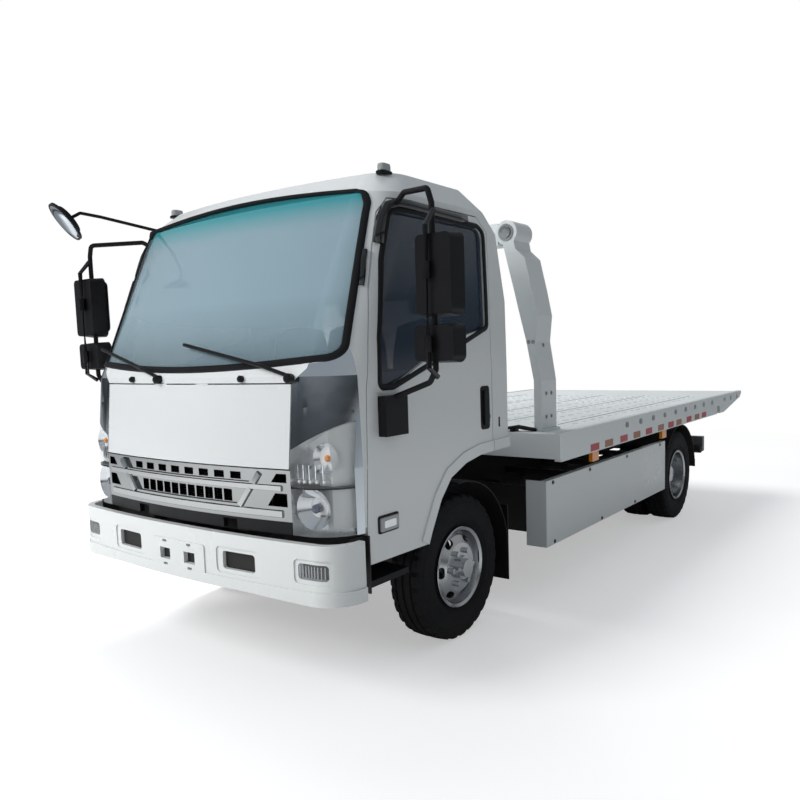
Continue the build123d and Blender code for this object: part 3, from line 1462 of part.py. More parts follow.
# Posts behind the cab with their leaning arms, and the beam between the knuckles
POST_SECTIONS = [
    # height, inner y, outer y
    (DECK_TOP + FIT, 987.0, 1035.0),
    (1340.0, 987.0, 1035.0),
    (1570.0, 942.0, 998.0),
    (1725.0, 902.0, 1014.0),
    (1872.0, 866.0, 984.0),
    (2067.0, 816.0, 938.0),
    (2125.0, 802.0, 876.0),
]
with BuildPart() as posts:
    for side in (1, -1):
        with BuildSketch(Plane.YZ.offset(POST_FRONT_X - POST_DEPTH)):
            with BuildLine():
                inner = [(side * row[1], row[0]) for row in POST_SECTIONS]
                outer = [(side * row[2], row[0]) for row in reversed(POST_SECTIONS)]
                Polyline(
                    *inner, (side * (KNUCKLE_Y - 40), KNUCKLE_Z), (side * (KNUCKLE_Y + 40), KNUCKLE_Z),
                    *outer, close=True,
                )
            make_face()
            with Locations((side * KNUCKLE_Y, KNUCKLE_Z)):
                Circle(KNUCKLE_RADIUS)
        extrude(amount=POST_DEPTH)
        box(POST_FRONT_X - POST_DEPTH, POST_FRONT_X, side * 960, side * 1060, DECK_TOP + FIT, DECK_TOP + 14)
save(posts, "posts")
with BuildPart() as post_beam:
    beam_half = KNUCKLE_Y - KNUCKLE_RADIUS - FIT
    box(
        POST_FRONT_X - POST_DEPTH + 30, POST_FRONT_X - 30, -beam_half, beam_half, KNUCKLE_Z - 65,
        KNUCKLE_Z + 65,
    )
save(post_beam, "post_beam")

# Winch on the deck behind the cab
WINCH_X = DECK_FRONT_X - 260.0
WINCH_Z = DECK_TOP + 110.0
DRUM_HALF = 150.0
with BuildPart() as winch_frame:
    box(WINCH_X - 110, WINCH_X + 110, -260, 260, DECK_TOP + FIT, DECK_TOP + 12)
    for side in (1, -1):
        box(
            WINCH_X - 80, WINCH_X + 80, side * (DRUM_HALF + 12), side * (DRUM_HALF + 70),
            DECK_TOP + 12, WINCH_Z + 85,
        )
        cross_rod(
            WINCH_X, WINCH_Z, side * (DRUM_HALF + 12), side * (DRUM_HALF + 70), 22 + FIT,
            mode=Mode.SUBTRACT,
        )
save(winch_frame, "winch_frame")
with BuildPart() as winch_drum:
    cross_rod(WINCH_X, WINCH_Z, -DRUM_HALF - 60, DRUM_HALF + 60, 22)
    cross_rod(WINCH_X, WINCH_Z, -DRUM_HALF, DRUM_HALF, 55)
    cross_rod(WINCH_X, WINCH_Z, -DRUM_HALF, -DRUM_HALF + 12, 82)
    cross_rod(WINCH_X, WINCH_Z, DRUM_HALF - 12, DRUM_HALF, 82)
save(winch_drum, "winch_drum")

# Tilt cylinders: barrels on the chassis, rods to the subframe
CYL_RUN = Vector(TILT_EYE_X - TILT_BASE_X, 0, TILT_EYE_Z - TILT_BASE_Z)
CYL_DIRECTION = CYL_RUN.normalized()
BARREL_LENGTH = CYL_RUN.length - 190
with BuildPart() as tilt_barrels:
    for side in (1, -1):
        base = Vector(TILT_BASE_X, side * TILT_CYL_Y, TILT_BASE_Z)
        with BuildSketch(Plane(origin=base, z_dir=CYL_DIRECTION)):
            Circle(CYL_EYE_HALF - 2)
        extrude(amount=80)
        with BuildSketch(Plane(origin=base + CYL_DIRECTION * 60, z_dir=CYL_DIRECTION)):
            Circle(TILT_BARREL_RADIUS)
        extrude(amount=BARREL_LENGTH - 60)
        cross_rod(
            TILT_BASE_X, TILT_BASE_Z, side * TILT_CYL_Y - CYL_EYE_HALF,
            side * TILT_CYL_Y + CYL_EYE_HALF, CYL_EYE_RADIUS,
        )
        with BuildSketch(Plane(origin=base + CYL_DIRECTION * 90, z_dir=CYL_DIRECTION)):
            Circle(TILT_ROD_RADIUS + FIT)
        extrude(amount=BARREL_LENGTH, mode=Mode.SUBTRACT)
    for side in (1, -1):
        cross_rod(
            TILT_BASE_X, TILT_BASE_Z, side * TILT_CYL_Y - 40, side * TILT_CYL_Y + 40,
            CYL_PIN_RADIUS + FIT, mode=Mode.SUBTRACT,
        )
save(tilt_barrels, "tilt_barrels")
with BuildPart() as tilt_rods:
    for side in (1, -1):
        base = Vector(TILT_BASE_X, side * TILT_CYL_Y, TILT_BASE_Z)
        with BuildSketch(Plane(origin=base + CYL_DIRECTION * 100, z_dir=CYL_DIRECTION)):
            Circle(TILT_ROD_RADIUS)
        extrude(amount=CYL_RUN.length - 100)
        cross_rod(
            TILT_EYE_X, TILT_EYE_Z, side * TILT_CYL_Y - CYL_EYE_HALF, side * TILT_CYL_Y + CYL_EYE_HALF,
            CYL_EYE_RADIUS,
        )
    for side in (1, -1):
        cross_rod(
            TILT_EYE_X, TILT_EYE_Z, side * TILT_CYL_Y - 40, side * TILT_CYL_Y + 40,
            CYL_PIN_RADIUS + ROD_EYE_CLEARANCE, mode=Mode.SUBTRACT,
        )
save(tilt_rods, "tilt_rods")

# Wheel lift behind the rear axle
with BuildPart() as lift_arm:
    box(LIFT_HINGE_X - LIFT_REACH, LIFT_HINGE_X + 30, -54, 54, LIFT_Z - LIFT_ARM / 2, LIFT_Z + LIFT_ARM / 2)
    box(
        LIFT_HINGE_X - LIFT_REACH - 1,
        LIFT_HINGE_X - 40,
        -54 + LIFT_WALL,
        54 - LIFT_WALL,
        LIFT_Z - LIFT_ARM / 2 + LIFT_WALL,
        LIFT_Z + LIFT_ARM / 2 - LIFT_WALL,
        mode=Mode.SUBTRACT,
    )
    cross_rod(LIFT_HINGE_X, LIFT_Z, -60, 60, LIFT_PIN_RADIUS + FIT, mode=Mode.SUBTRACT)
save(lift_arm, "lift_arm")
SLIDER_HALF = 54 - LIFT_WALL - FIT
SLIDER_RISE = LIFT_ARM / 2 - LIFT_WALL - FIT
with BuildPart() as lift_crossbar:
    box(
        LIFT_HINGE_X - LIFT_REACH, LIFT_HINGE_X - 50, -SLIDER_HALF, SLIDER_HALF, LIFT_Z - SLIDER_RISE,
        LIFT_Z + SLIDER_RISE,
    )
    box(LIFT_HINGE_X - LIFT_REACH - 90, LIFT_HINGE_X - LIFT_REACH - 6, -560, 560, LIFT_Z - 36, LIFT_Z + 36)
    box(LIFT_HINGE_X - LIFT_REACH - 6, LIFT_HINGE_X - LIFT_REACH, -44, 44, LIFT_Z - 30, LIFT_Z + 30)
save(lift_crossbar, "lift_crossbar")

# Side skirts: bent sheet with flanges, closed at the front
SKIRT_ARMS = [-860.0, -1500.0, -2060.0, -2600.0]
with BuildPart() as side_skirts:
    for side in (1, -1):
        box(
            SKIRT_REAR_X, SKIRT_FRONT_X, side * SKIRT_Y, side * (SKIRT_Y - SKIRT_SHEET), SKIRT_BOTTOM,
            SKIRT_TOP,
        )
        for z in (SKIRT_BOTTOM, SKIRT_TOP - SKIRT_SHEET):
            box(
                SKIRT_REAR_X, SKIRT_FRONT_X, side * SKIRT_Y, side * (SKIRT_Y - SKIRT_FLANGE), z,
                z + SKIRT_SHEET,
            )
        box(
            SKIRT_FRONT_X - SKIRT_SHEET, SKIRT_FRONT_X, side * SKIRT_Y, side * SKIRT_RETURN_Y,
            SKIRT_BOTTOM, SKIRT_TOP,
        )
        for arm in SKIRT_ARMS:
            box(ax(arm) - 20, ax(arm) + 20, side * (RAIL_OUTER_Y + FIT), side * (SKIRT_Y - 1), 640, 680)
save(side_skirts, "side_skirts")

# Tanks and boxes behind the skirts
with BuildPart() as side_boxes:
    box(ax(-1480.0), ax(-880.0), -SKIRT_RETURN_Y, -RAIL_OUTER_Y - 20, 370, 635)
    fillet(side_boxes.edges().filter_by(Axis.X), 45)
    box(ax(-1300.0), ax(-880.0), 520, SKIRT_RETURN_Y, 380, 635)
    # brackets to the frame rails
    for bracket_x in (ax(-1230.0), ax(-960.0)):
        box(bracket_x - 20, bracket_x + 20, -RAIL_OUTER_Y - FIT, -RAIL_OUTER_Y - 24, 575, 615)
        box(bracket_x - 20, bracket_x + 20, RAIL_OUTER_Y + FIT, 521, 590, 625)
save(side_boxes, "side_boxes")
with BuildPart() as silencer:
    with BuildSketch(Plane.YZ.offset(ax(-2300.0))):
        with Locations((520, 540)):
            Ellipse(120, 90)
    extrude(amount=620)
    for hanger_x in (ax(-2200.0), ax(-1800.0)):
        box(hanger_x - 15, hanger_x + 15, RAIL_OUTER_Y + FIT, 440, 570, 600)
save(silencer, "silencer")

# Mudguards
GUARD_RADIUS = 456.0
GUARD_SHEET = 6.0


def guard_arc(wheel_x, radius, start, stop, y0, y1):
    """Curved mudguard sheet about a wheel between two angles from the front."""
    with BuildPart() as guard:
        with BuildSketch(SIDE.offset(-min(y0, y1))):
            with BuildLine():
                rows = []
                for reach in (radius, radius + GUARD_SHEET):
                    for angle in (start, (start + stop) / 2, stop):
                        rows.append(
                            (
                                wheel_x + reach * cos(radians(angle)),
                                TYRE_RADIUS + reach * sin(radians(angle)),
                            )
                        )
                ThreePointArc(rows[0], rows[1], rows[2])
                Line(rows[2], rows[5])
                ThreePointArc(rows[5], rows[4], rows[3])
                Line(rows[3], rows[0])
            make_face()
        extrude(amount=-abs(y1 - y0))
    return guard.part


FRONT_GUARD_Y = 735.0
REAR_GUARD_Y = 590.0
REAR_GUARD_OUTER_Y = 1060.0
with BuildPart() as front_mudguards:
    for side in (1, -1):
        y0, y1 = sorted((side * FRONT_GUARD_Y, side * 962))
        flap_x = FRONT_AXLE_X - GUARD_RADIUS - GUARD_SHEET
        add(guard_arc(FRONT_AXLE_X, GUARD_RADIUS, 85, 178, y0, y1))
        box(flap_x - GUARD_SHEET, flap_x + 2, y0, y1, 200, 640)
        box(flap_x - 18, flap_x, side * (RAIL_OUTER_Y + FIT), side * (FRONT_GUARD_Y + 10), 600, 630)
        # step below the door
        box(ax(470.0), ax(790.0), side * 700, side * 945, 480, 510)
        box(ax(470.0), ax(500.0), side * 690, side * 705, 480, 600)
        box(ax(470.0), ax(500.0), side * (RAIL_OUTER_Y + FIT), side * 705, 570, 600)
save(front_mudguards, "front_mudguards")
REAR_BAR_X = -2160.0
REAR_BAR_Z = 524.0
with BuildPart() as rear_guards:
    for side in (1, -1):
        y0, y1 = sorted((side * REAR_GUARD_Y, side * REAR_GUARD_OUTER_Y))
        guard_radius = GUARD_RADIUS - 20
        add(guard_arc(REAR_AXLE_X, guard_radius, 40, 172, y0, y1))
        flap_x = REAR_AXLE_X - guard_radius
        box(flap_x - GUARD_SHEET - 2, flap_x - 2, y0, y1, 400, TYRE_RADIUS + 80)
        for angle in (60, 120):
            arm_x = REAR_AXLE_X + guard_radius * cos(radians(angle))
            arm_z = TYRE_RADIUS + guard_radius * sin(radians(angle))
            box(
                arm_x - 12, arm_x + 12, side * (RAIL_OUTER_Y + FIT), side * (REAR_GUARD_Y + 8),
                RAIL_TOP - 36, RAIL_TOP - 12,
            )
            box(
                arm_x - 12, arm_x + 12, side * (REAR_GUARD_Y - 8), side * (REAR_GUARD_Y + 8),
                RAIL_TOP - 36, arm_z + 6,
            )
    # bar across the rear that carries the tail lamps
    box(REAR_BAR_X - 25, REAR_BAR_X + 25, -1040, 1040, REAR_BAR_Z - 30, REAR_BAR_Z + 30)
    for side in (1, -1):
        box(
            REAR_BAR_X - 25, REAR_BAR_X + 25, side * (RAIL_OUTER_Y + FIT), side * (RAIL_OUTER_Y + 14),
            REAR_BAR_Z, RAIL_TOP - 20,
        )
save(rear_guards, "rear_guards")
with BuildPart() as tail_lamps:
    for side in (1, -1):
        box(
            REAR_BAR_X - 85, REAR_BAR_X - 25 - FIT, side * 760, side * 1045, REAR_BAR_Z - 20,
            REAR_BAR_Z + 120,
        )
save(tail_lamps, "tail_lamps")

# Cab hinge brackets in front and the cab's rest behind, on the frame
CAB_REST_X = ax(-405.0)
with BuildPart() as cab_mounts:
    for side in (1, -1):
        plate_y = HINGE_ARM_Y - HINGE_ARM_WIDTH / 2 - 16
        box(
            CAB_TILT_X - 35, CAB_TILT_X + 20, side * plate_y, side * (plate_y + 14), RAIL_TOP + FIT,
            CAB_TILT_Z + 24,
        )
        box(
            CAB_TILT_X - 35, CAB_TILT_X + 20, side * plate_y, side * RAIL_OUTER_Y, RAIL_TOP + FIT,
            RAIL_TOP + 12,
        )
        cross_rod(
            CAB_TILT_X, CAB_TILT_Z, side * plate_y, side * (HINGE_ARM_Y + HINGE_ARM_WIDTH / 2 + 4),
            HINGE_PIN_RADIUS,
        )
        box(
            CAB_REST_X - 30, CAB_REST_X + 30, side * RAIL_INNER_Y, side * RAIL_OUTER_Y, RAIL_TOP + FIT,
            FLOOR_REAR_Z - 30,
        )
    box(CAB_REST_X - 30, CAB_REST_X + 30, -RAIL_OUTER_Y, RAIL_OUTER_Y, FLOOR_REAR_Z - 50, FLOOR_REAR_Z - FIT)
save(cab_mounts, "cab_mounts")

# Door mirrors on bent tubes
MIRROR_TUBE = 13.0
MIRROR_FOOT_Y = 969.8
MIRROR_OUTER = 130.0
MIRROR_HEADS = [
    # low edge, high edge, reach inside the pole, depth
    (1680.0, 2035.0, 70.0, 92.0),
    (1480.0, 1650.0, 90.0, 86.0),
]
for mirror_name, side, pole_x, pole_y in (
    ("mirror_left", 1, 570.0, 1205.0), ("mirror_right", -1, 720.0, 1205.0),
):
    pole = ax(pole_x)
    with BuildPart() as door_mirror:
        add(
            tube(
                [
                    (ax(470.0), side * 944, 2212),
                    (ax(490.0), side * 1000, 2245),
                    (pole, side * (pole_y - 20), 2225),
                    (pole, side * pole_y, 2160),
                    (pole, side * pole_y, 1450),
                    (pole - 10, side * (pole_y - 40), 1395),
                    (ax(610.0), side * 1000, 1330),
                ],
                MIRROR_TUBE,
                25,
            )
        )
        box(ax(530.0), ax(690.0), side * MIRROR_FOOT_Y, side * 1016, 1160, 1340)
        for low, high, inner, depth in MIRROR_HEADS:
            with BuildSketch(Plane.YZ.offset(pole - 45)):
                with Locations((side * (pole_y + (MIRROR_OUTER - inner) / 2), (low + high) / 2)):
                    RectangleRounded(MIRROR_OUTER + inner, high - low, 34)
            extrude(amount=depth, taper=6)
    save(door_mirror, mirror_name)

# Wipers at rest on the windscreen
WIPER_PIVOTS = (700.0, -175.0)
WIPER_RADIUS = 9.0


def glass_front(y, z):
    """Front of the cab form at a given side distance and height above the belt."""
    lean = (CAB_SECTIONS[2][1] - CAB_SECTIONS[3][1]) / (CAB_SECTIONS[3][0] - CAB_SECTIONS[2][0])
    return ax(CAB_SECTIONS[2][1] - lean * (z - CAB_SECTIONS[2][0]) - CAB_BOW * (y / 738.0) ** 2)


with BuildPart() as wipers:
    for pivot_y in WIPER_PIVOTS:
        add(
            tube(
                [
                    (glass_front(pivot_y, 1442) + WIPER_RADIUS + 1, pivot_y, 1442),
                    (glass_front(pivot_y - 150, 1490) + 34, pivot_y - 150, 1490),
                    (glass_front(pivot_y - 730, 1600) + 20, pivot_y - 730, 1600),
                ],
                WIPER_RADIUS,
                20,
            )
        )
save(wipers, "wipers")
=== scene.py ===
# %% [markdown]
# # A flatbed tow truck, dressed for its picture
# The solids of the truck are already made and stand still in one frame: +X forward,
# +Y left, +Z up, in metres. This lesson gives them paint, glass and rubber, and adds
# what is too fine for the solids: seals, lamps, bolts, tread, ribs and tape.

import math

import bmesh
import bpy
from mathutils import Matrix, Vector
from mathutils.bvhtree import BVHTree


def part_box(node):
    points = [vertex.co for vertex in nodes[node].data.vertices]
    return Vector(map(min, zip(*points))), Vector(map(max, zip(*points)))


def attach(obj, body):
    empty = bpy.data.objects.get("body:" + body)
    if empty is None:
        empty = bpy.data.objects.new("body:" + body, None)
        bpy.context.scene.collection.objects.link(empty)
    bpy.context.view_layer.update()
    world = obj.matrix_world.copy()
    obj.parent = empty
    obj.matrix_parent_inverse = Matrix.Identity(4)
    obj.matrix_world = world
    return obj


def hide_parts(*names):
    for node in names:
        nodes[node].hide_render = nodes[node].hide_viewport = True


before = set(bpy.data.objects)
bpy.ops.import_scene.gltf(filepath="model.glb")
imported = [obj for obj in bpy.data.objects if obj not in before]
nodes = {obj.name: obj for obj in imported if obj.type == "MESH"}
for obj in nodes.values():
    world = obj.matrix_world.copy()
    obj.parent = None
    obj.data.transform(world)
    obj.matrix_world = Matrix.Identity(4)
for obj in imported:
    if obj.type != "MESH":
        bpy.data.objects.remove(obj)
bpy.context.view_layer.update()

# %% [markdown]
# ## Studio and camera
# The photograph was taken from the left front corner, at eye height. A camera's place
# can be solved from known sizes, here the wheelbase and the tyres. A picture is often
# cut a little off its middle, and the camera's shift stands for that.

# %% Camera at the photograph's angle
CAMERA_PLACE = Vector((5.143, 3.062, 1.527))
CAMERA_YAW = math.radians(216.79)
CAMERA_PITCH = math.radians(-5.76)
CAMERA_ROLL = math.radians(-1.76)
CAMERA_SHIFT = (-0.0154, 0.035)
FOCAL_PX = 744.7
IMAGE_PX = 800
SENSOR_MM = 36.0
X_WAY = Vector((1, 0, 0))
Y_WAY = Vector((0, 1, 0))
Z_WAY = Vector((0, 0, 1))


def new_object(name, data):
    """Object that the scene shows."""
    made = bpy.data.objects.new(name, data)
    bpy.context.scene.collection.objects.link(made)
    return made


level = math.cos(CAMERA_PITCH)
forward = Vector(
    (level * math.cos(CAMERA_YAW), level * math.sin(CAMERA_YAW), math.sin(CAMERA_PITCH))
)
level_right = forward.cross(Z_WAY).normalized()
level_up = level_right.cross(forward)
right = level_right * math.cos(CAMERA_ROLL) + level_up * math.sin(CAMERA_ROLL)
up = level_up * math.cos(CAMERA_ROLL) - level_right * math.sin(CAMERA_ROLL)
camera_data = bpy.data.cameras.new("camera")
camera_data.sensor_width = SENSOR_MM
camera_data.lens = FOCAL_PX / IMAGE_PX * SENSOR_MM
camera_data.shift_x, camera_data.shift_y = CAMERA_SHIFT
camera = new_object("camera", camera_data)
axes = (right, up, -forward, CAMERA_PLACE)
camera.matrix_world = Matrix([[way[k] for way in axes] for k in range(3)] + [(0, 0, 0, 1)])
bpy.context.scene.camera = camera
bpy.context.scene.view_settings.view_transform = "Standard"
print("camera at:", tuple(CAMERA_PLACE))

# %% [markdown]
# ## Floor and light
# The photograph's truck stands alone on white. A floor that is plain grey near the
# truck takes its shadow, and further out it turns into the white backdrop. The world
# is white to the camera, yet to chrome it shows a dark band low down, since chrome
# looks like what it mirrors. Small helpers make a node, set its inputs and link them.


# %% Floor, backdrop and lamps
def feed(node, inputs):
    """Inputs of a node, each from another node's output or a plain value."""
    for socket, value in inputs.items():
        if isinstance(value, bpy.types.NodeSocket):
            node.id_data.links.new(value, node.inputs[socket])
        else:
            node.inputs[socket].default_value = value


def put(tree, kind, inputs=None, **settings):
    """New node with its settings and inputs."""
    node = tree.nodes.new(kind)
    for name, value in settings.items():
        setattr(node, name, value)
    feed(node, inputs or {})
    return node


def maths(tree, kind, first, second):
    """Output of one operation on two outputs or numbers."""
    return put(tree, "ShaderNodeMath", {0: first, 1: second}, operation=kind).outputs[0]


def new_material(name):
    """Material with nodes: itself, its tree and its Principled BSDF."""
    material = bpy.data.materials.new(name)
    material.use_nodes = True
    tree = material.node_tree
    return material, tree, tree.nodes["Principled BSDF"]


FLOOR_HALF = 400.0
FLOOR_GLOW = 0.42
FADE_FROM = 3.5
FADE_TO = 9.0
floor_mesh = bpy.data.meshes.new("floor")
corners = [(FLOOR_HALF * x, FLOOR_HALF * y, 0) for x, y in ((-1, -1), (1, -1), (1, 1), (-1, 1))]
floor_mesh.from_pydata(corners, [], [(0, 1, 2, 3)])
material, tree, shader = new_material("studio_floor")
feed(shader, {"Base Color": (0.8, 0.8, 0.8, 1), "Roughness": 0.9})
glow = put(tree, "ShaderNodeEmission", {"Strength": FLOOR_GLOW})
near = put(tree, "ShaderNodeAddShader", {0: shader.outputs[0], 1: glow.outputs[0]})
place = put(tree, "ShaderNodeTexCoord")
distance = put(tree, "ShaderNodeVectorMath", {0: place.outputs["Object"]}, operation="LENGTH")
reach = {"Value": distance.outputs["Value"], "From Min": FADE_FROM, "From Max": FADE_TO}
fade = put(tree, "ShaderNodeMapRange", reach).outputs[0]
far = put(tree, "ShaderNodeEmission")
shown = put(tree, "ShaderNodeMixShader", {0: fade, 1: near.outputs[0], 2: far.outputs[0]})
ray = put(tree, "ShaderNodeLightPath").outputs["Is Camera Ray"]
pick = put(tree, "ShaderNodeMixShader", {0: ray, 1: shader.outputs[0], 2: shown.outputs[0]})
feed(tree.nodes["Material Output"], {"Surface": pick.outputs[0]})
floor_mesh.materials.append(material)
floor = new_object("floor", floor_mesh)

SOFT_LIGHT = 0.34
SKY_STOPS = [
    # height of the direction, colour
    (0.0, (0.55, 0.55, 0.55)),
    (0.03, (0.10, 0.11, 0.12)),
    (0.10, (0.22, 0.25, 0.27)),
    (0.22, (0.95, 0.98, 1.0)),
    (1.0, (0.80, 0.90, 1.0)),
]
world = bpy.data.worlds.new("studio")
bpy.context.scene.world = world
world.use_nodes = True
tree = world.node_tree
heading = put(tree, "ShaderNodeTexCoord")
height = put(tree, "ShaderNodeSeparateXYZ", {0: heading.outputs["Generated"]})
sky = put(tree, "ShaderNodeValToRGB", {"Fac": height.outputs["Z"]})
while len(sky.color_ramp.elements) < len(SKY_STOPS):
    sky.color_ramp.elements.new(0.5)
for stop, (rise, colour) in zip(sky.color_ramp.elements, SKY_STOPS):
    stop.position = rise
    stop.color = (*colour, 1)
soft = tree.nodes["Background"]
feed(soft, {"Strength": SOFT_LIGHT, "Color": sky.outputs["Color"]})
white = put(tree, "ShaderNodeBackground", {"Color": (1, 1, 1, 1), "Strength": 1.0})
ray = put(tree, "ShaderNodeLightPath").outputs["Is Camera Ray"]
seen = put(tree, "ShaderNodeMixShader", {0: ray, 1: soft.outputs[0], 2: white.outputs[0]})
feed(tree.nodes["World Output"], {"Surface": seen.outputs[0]})

LAMPS = [
    # name, place, aim, size, watts
    ("key", (9.5, -4.5, 6.5), (1.5, 0, 1.0), 5.0, 760.0),
    ("top", (-2.0, -4.0, 9.0), (-1.0, -0.5, 1.0), 6.0, 640.0),
]
for lamp_name, place, aim, size, watts in LAMPS:
    lamp_data = bpy.data.lights.new(lamp_name, "AREA")
    lamp_data.size = size
    lamp_data.energy = watts
    lamp = new_object(lamp_name, lamp_data)
    lamp.visible_glossy = False
    lamp.location = place
    lamp.rotation_euler = (Vector(aim) - Vector(place)).to_track_quat("-Z", "Y").to_euler()
print("lamps:", len(LAMPS))

# %% [markdown]
# ## Finishes
# A new truck is clean, yet no sheet of it is one flat colour: paint has a faint
# unevenness, and grime gathers low down. One node group works that out from the place
# on the object, and every material mixes its own colours with it.


# %% A shared group for uneven tone and low grime
GRIME_COLOUR = (0.12, 0.105, 0.09, 1)
GRIME_FLOOR = 0.4
ROUGH_SPREAD = 0.25
LEAST_ROUGH = 0.02


def tone_group():
    """Shader group: colour and roughness that vary with the place on the object."""
    group = bpy.data.node_groups.new("uneven_tone", "ShaderNodeTree")
    face = group.interface
    face.new_socket("colour", in_out="INPUT", socket_type="NodeSocketColor")
    for name in ("scale", "uneven", "grime", "height", "roughness"):
        face.new_socket(name, in_out="INPUT", socket_type="NodeSocketFloat")
    face.new_socket("Colour", in_out="OUTPUT", socket_type="NodeSocketColor")
    face.new_socket("Roughness", in_out="OUTPUT", socket_type="NodeSocketFloat")
    given = group.nodes.new("NodeGroupInput").outputs
    place = put(group, "ShaderNodeTexCoord").outputs["Object"]
    cloud = {"Vector": place, "Scale": given["scale"], "Detail": 5.0}
    noise = put(group, "ShaderNodeTexNoise", cloud).outputs["Fac"]
    split = put(group, "ShaderNodeSeparateXYZ", {0: place})
    centred = maths(group, "SUBTRACT", noise, 0.5)
    rise = maths(group, "DIVIDE", split.outputs["Z"], given["height"])
    low = maths(group, "MAXIMUM", maths(group, "SUBTRACT", 1.0, rise), 0.0)
    low = maths(group, "MULTIPLY", maths(group, "MINIMUM", low, 1.0), given["grime"])
    grime = maths(group, "MULTIPLY", low, maths(group, "ADD", noise, GRIME_FLOOR))
    tone = maths(group, "ADD", 1.0, maths(group, "MULTIPLY", centred, given["uneven"]))
    shade = put(group, "ShaderNodeHueSaturation", {"Color": given["colour"], "Value": tone})
    both = {"Factor": grime, 6: shade.outputs["Color"], 7: GRIME_COLOUR}
    mix = put(group, "ShaderNodeMix", both, data_type="RGBA")
    spread = maths(group, "MULTIPLY", maths(group, "ADD", centred, grime), ROUGH_SPREAD)
    rough = maths(group, "ADD", given["roughness"], spread)
    rough = maths(group, "MAXIMUM", rough, LEAST_ROUGH)
    put(group, "NodeGroupOutput", {"Colour": mix.outputs[2], "Roughness": rough})
    return group


UNEVEN = tone_group()
print("group:", UNEVEN.name)

# %% [markdown]
# ## One maker, many finishes
# Paint, chrome, plastic and rubber differ in few numbers: colour, roughness, metal,
# clear coat and how uneven they are. One function takes these, so a new finish is one
# line. Grained plastic and tyres also get a fine bump, far cheaper than real relief.


# %% A maker for plain finishes
COAT_ROUGHNESS = 0.04
BUMP_DEPTH = 0.002
DULL_SPECULAR = 0.22
USUAL_WEAR = {"scale": 3.0, "uneven": 0.06, "grime": 0.0, "height": 0.9}


def finish(name, colour, roughness, metallic=0.0, coat=0.0, bump=None, **wear):
    """Material with wear (scale, uneven, grime, height) and a bump (scale, strength)."""
    material, tree, shader = new_material(name)
    values = {**USUAL_WEAR, **wear, "colour": (*colour, 1), "roughness": roughness}
    tone = put(tree, "ShaderNodeGroup", values, node_tree=UNEVEN).outputs
    feed(shader, {"Base Color": tone["Colour"], "Roughness": tone["Roughness"]})
    feed(shader, {"Metallic": metallic, "Coat Weight": coat, "Coat Roughness": COAT_ROUGHNESS})
    if bump:
        place = put(tree, "ShaderNodeTexCoord").outputs["Object"]
        grain = put(tree, "ShaderNodeTexNoise", {"Vector": place, "Scale": bump[0]})
        push = {"Height": grain.outputs["Fac"], "Strength": bump[1], "Distance": BUMP_DEPTH}
        feed(shader, {"Normal": put(tree, "ShaderNodeBump", push).outputs["Normal"]})
    return material


DECK_LOOK = {"coat": 0.2, "uneven": 0.05, "height": 0.8}
METAL_LOOK = {"metallic": 1.0, "uneven": 0.04}
PAINT = finish("cab_white", (0.80, 0.82, 0.82), 0.22, coat=0.7, uneven=0.02, grime=0.12)
DECK_PAINT = finish("deck_white", (0.74, 0.77, 0.77), 0.38, grime=0.15, **DECK_LOOK)
DECK_TOP = finish("deck_top_white", (0.86, 0.89, 0.89), 0.45, grime=0.1, **DECK_LOOK)
SKIRT_PAINT = finish(
    "skirt_white", (0.72, 0.75, 0.75), 0.3, coat=0.4, uneven=0.03, grime=0.2, height=0.7
)
BUMPER_PAINT = finish(
    "bumper_white", (0.80, 0.82, 0.81), 0.3, coat=0.5, uneven=0.02, grime=0.1, height=0.7
)
BLACK = finish(
    "black_plastic", (0.010, 0.010, 0.011), 0.42, scale=8.0, uneven=0.3, bump=(700.0, 0.15)
)
GLOSS_BLACK = finish("gloss_black", (0.008, 0.008, 0.009), 0.12, coat=0.5)
CHROME = finish("bright_chrome", (0.38, 0.39, 0.39), 0.10, **METAL_LOOK)
REFLECTOR = finish("lamp_reflector", (0.86, 0.88, 0.90), 0.08, **METAL_LOOK)
LAMP_SILVER = finish("lamp_silver", (0.66, 0.68, 0.69), 0.28, metallic=0.9, uneven=0.05)
BAR_CHROME = finish("grille_bar_chrome", (0.50, 0.51, 0.51), 0.12, **METAL_LOOK)
DARK_CHROME = finish("corner_chrome", (0.72, 0.77, 0.82), 0.05, metallic=1.0, uneven=0.05)
SATIN = finish("satin_chrome", (0.40, 0.41, 0.42), 0.24, metallic=1.0)
CHASSIS = finish("chassis_black", (0.014, 0.014, 0.016), 0.5, grime=0.55, uneven=0.3)
CAST = finish("cast_drive", (0.10, 0.10, 0.10), 0.6, metallic=0.6, grime=0.4, bump=(90.0, 0.3))
STEEL = finish("plain_steel", (0.42, 0.43, 0.44), 0.35, metallic=1.0, grime=0.2, uneven=0.15)
WHEEL = finish(
    "wheel_silver", (0.62, 0.63, 0.64), 0.22, metallic=1.0, uneven=0.08, grime=0.1, height=0.6
)
RUBBER = finish(
    "tyre_rubber", (0.009, 0.009, 0.010), 0.72, scale=14.0, uneven=0.35, grime=0.15,
    height=0.2, bump=(260.0, 0.25),
)
SEAL = finish("rubber_seal", (0.012, 0.012, 0.013), 0.55)
CABIN_GREY = finish("cabin_grey", (0.10, 0.10, 0.11), 0.6, uneven=0.15, bump=(400.0, 0.2))
CLOTH = finish(
    "seat_cloth", (0.11, 0.115, 0.125), 0.9, scale=40.0, uneven=0.3, bump=(900.0, 0.5)
)
RED_LENS = finish("red_lens", (0.45, 0.012, 0.012), 0.15, coat=0.8)
AMBER = finish("amber_lens", (0.85, 0.28, 0.015), 0.18, coat=0.6)
AMBER_TAPE = finish("amber_tape", (0.38, 0.15, 0.07), 0.4)
RED_TAPE = finish("red_tape", (0.48, 0.045, 0.06), 0.4)
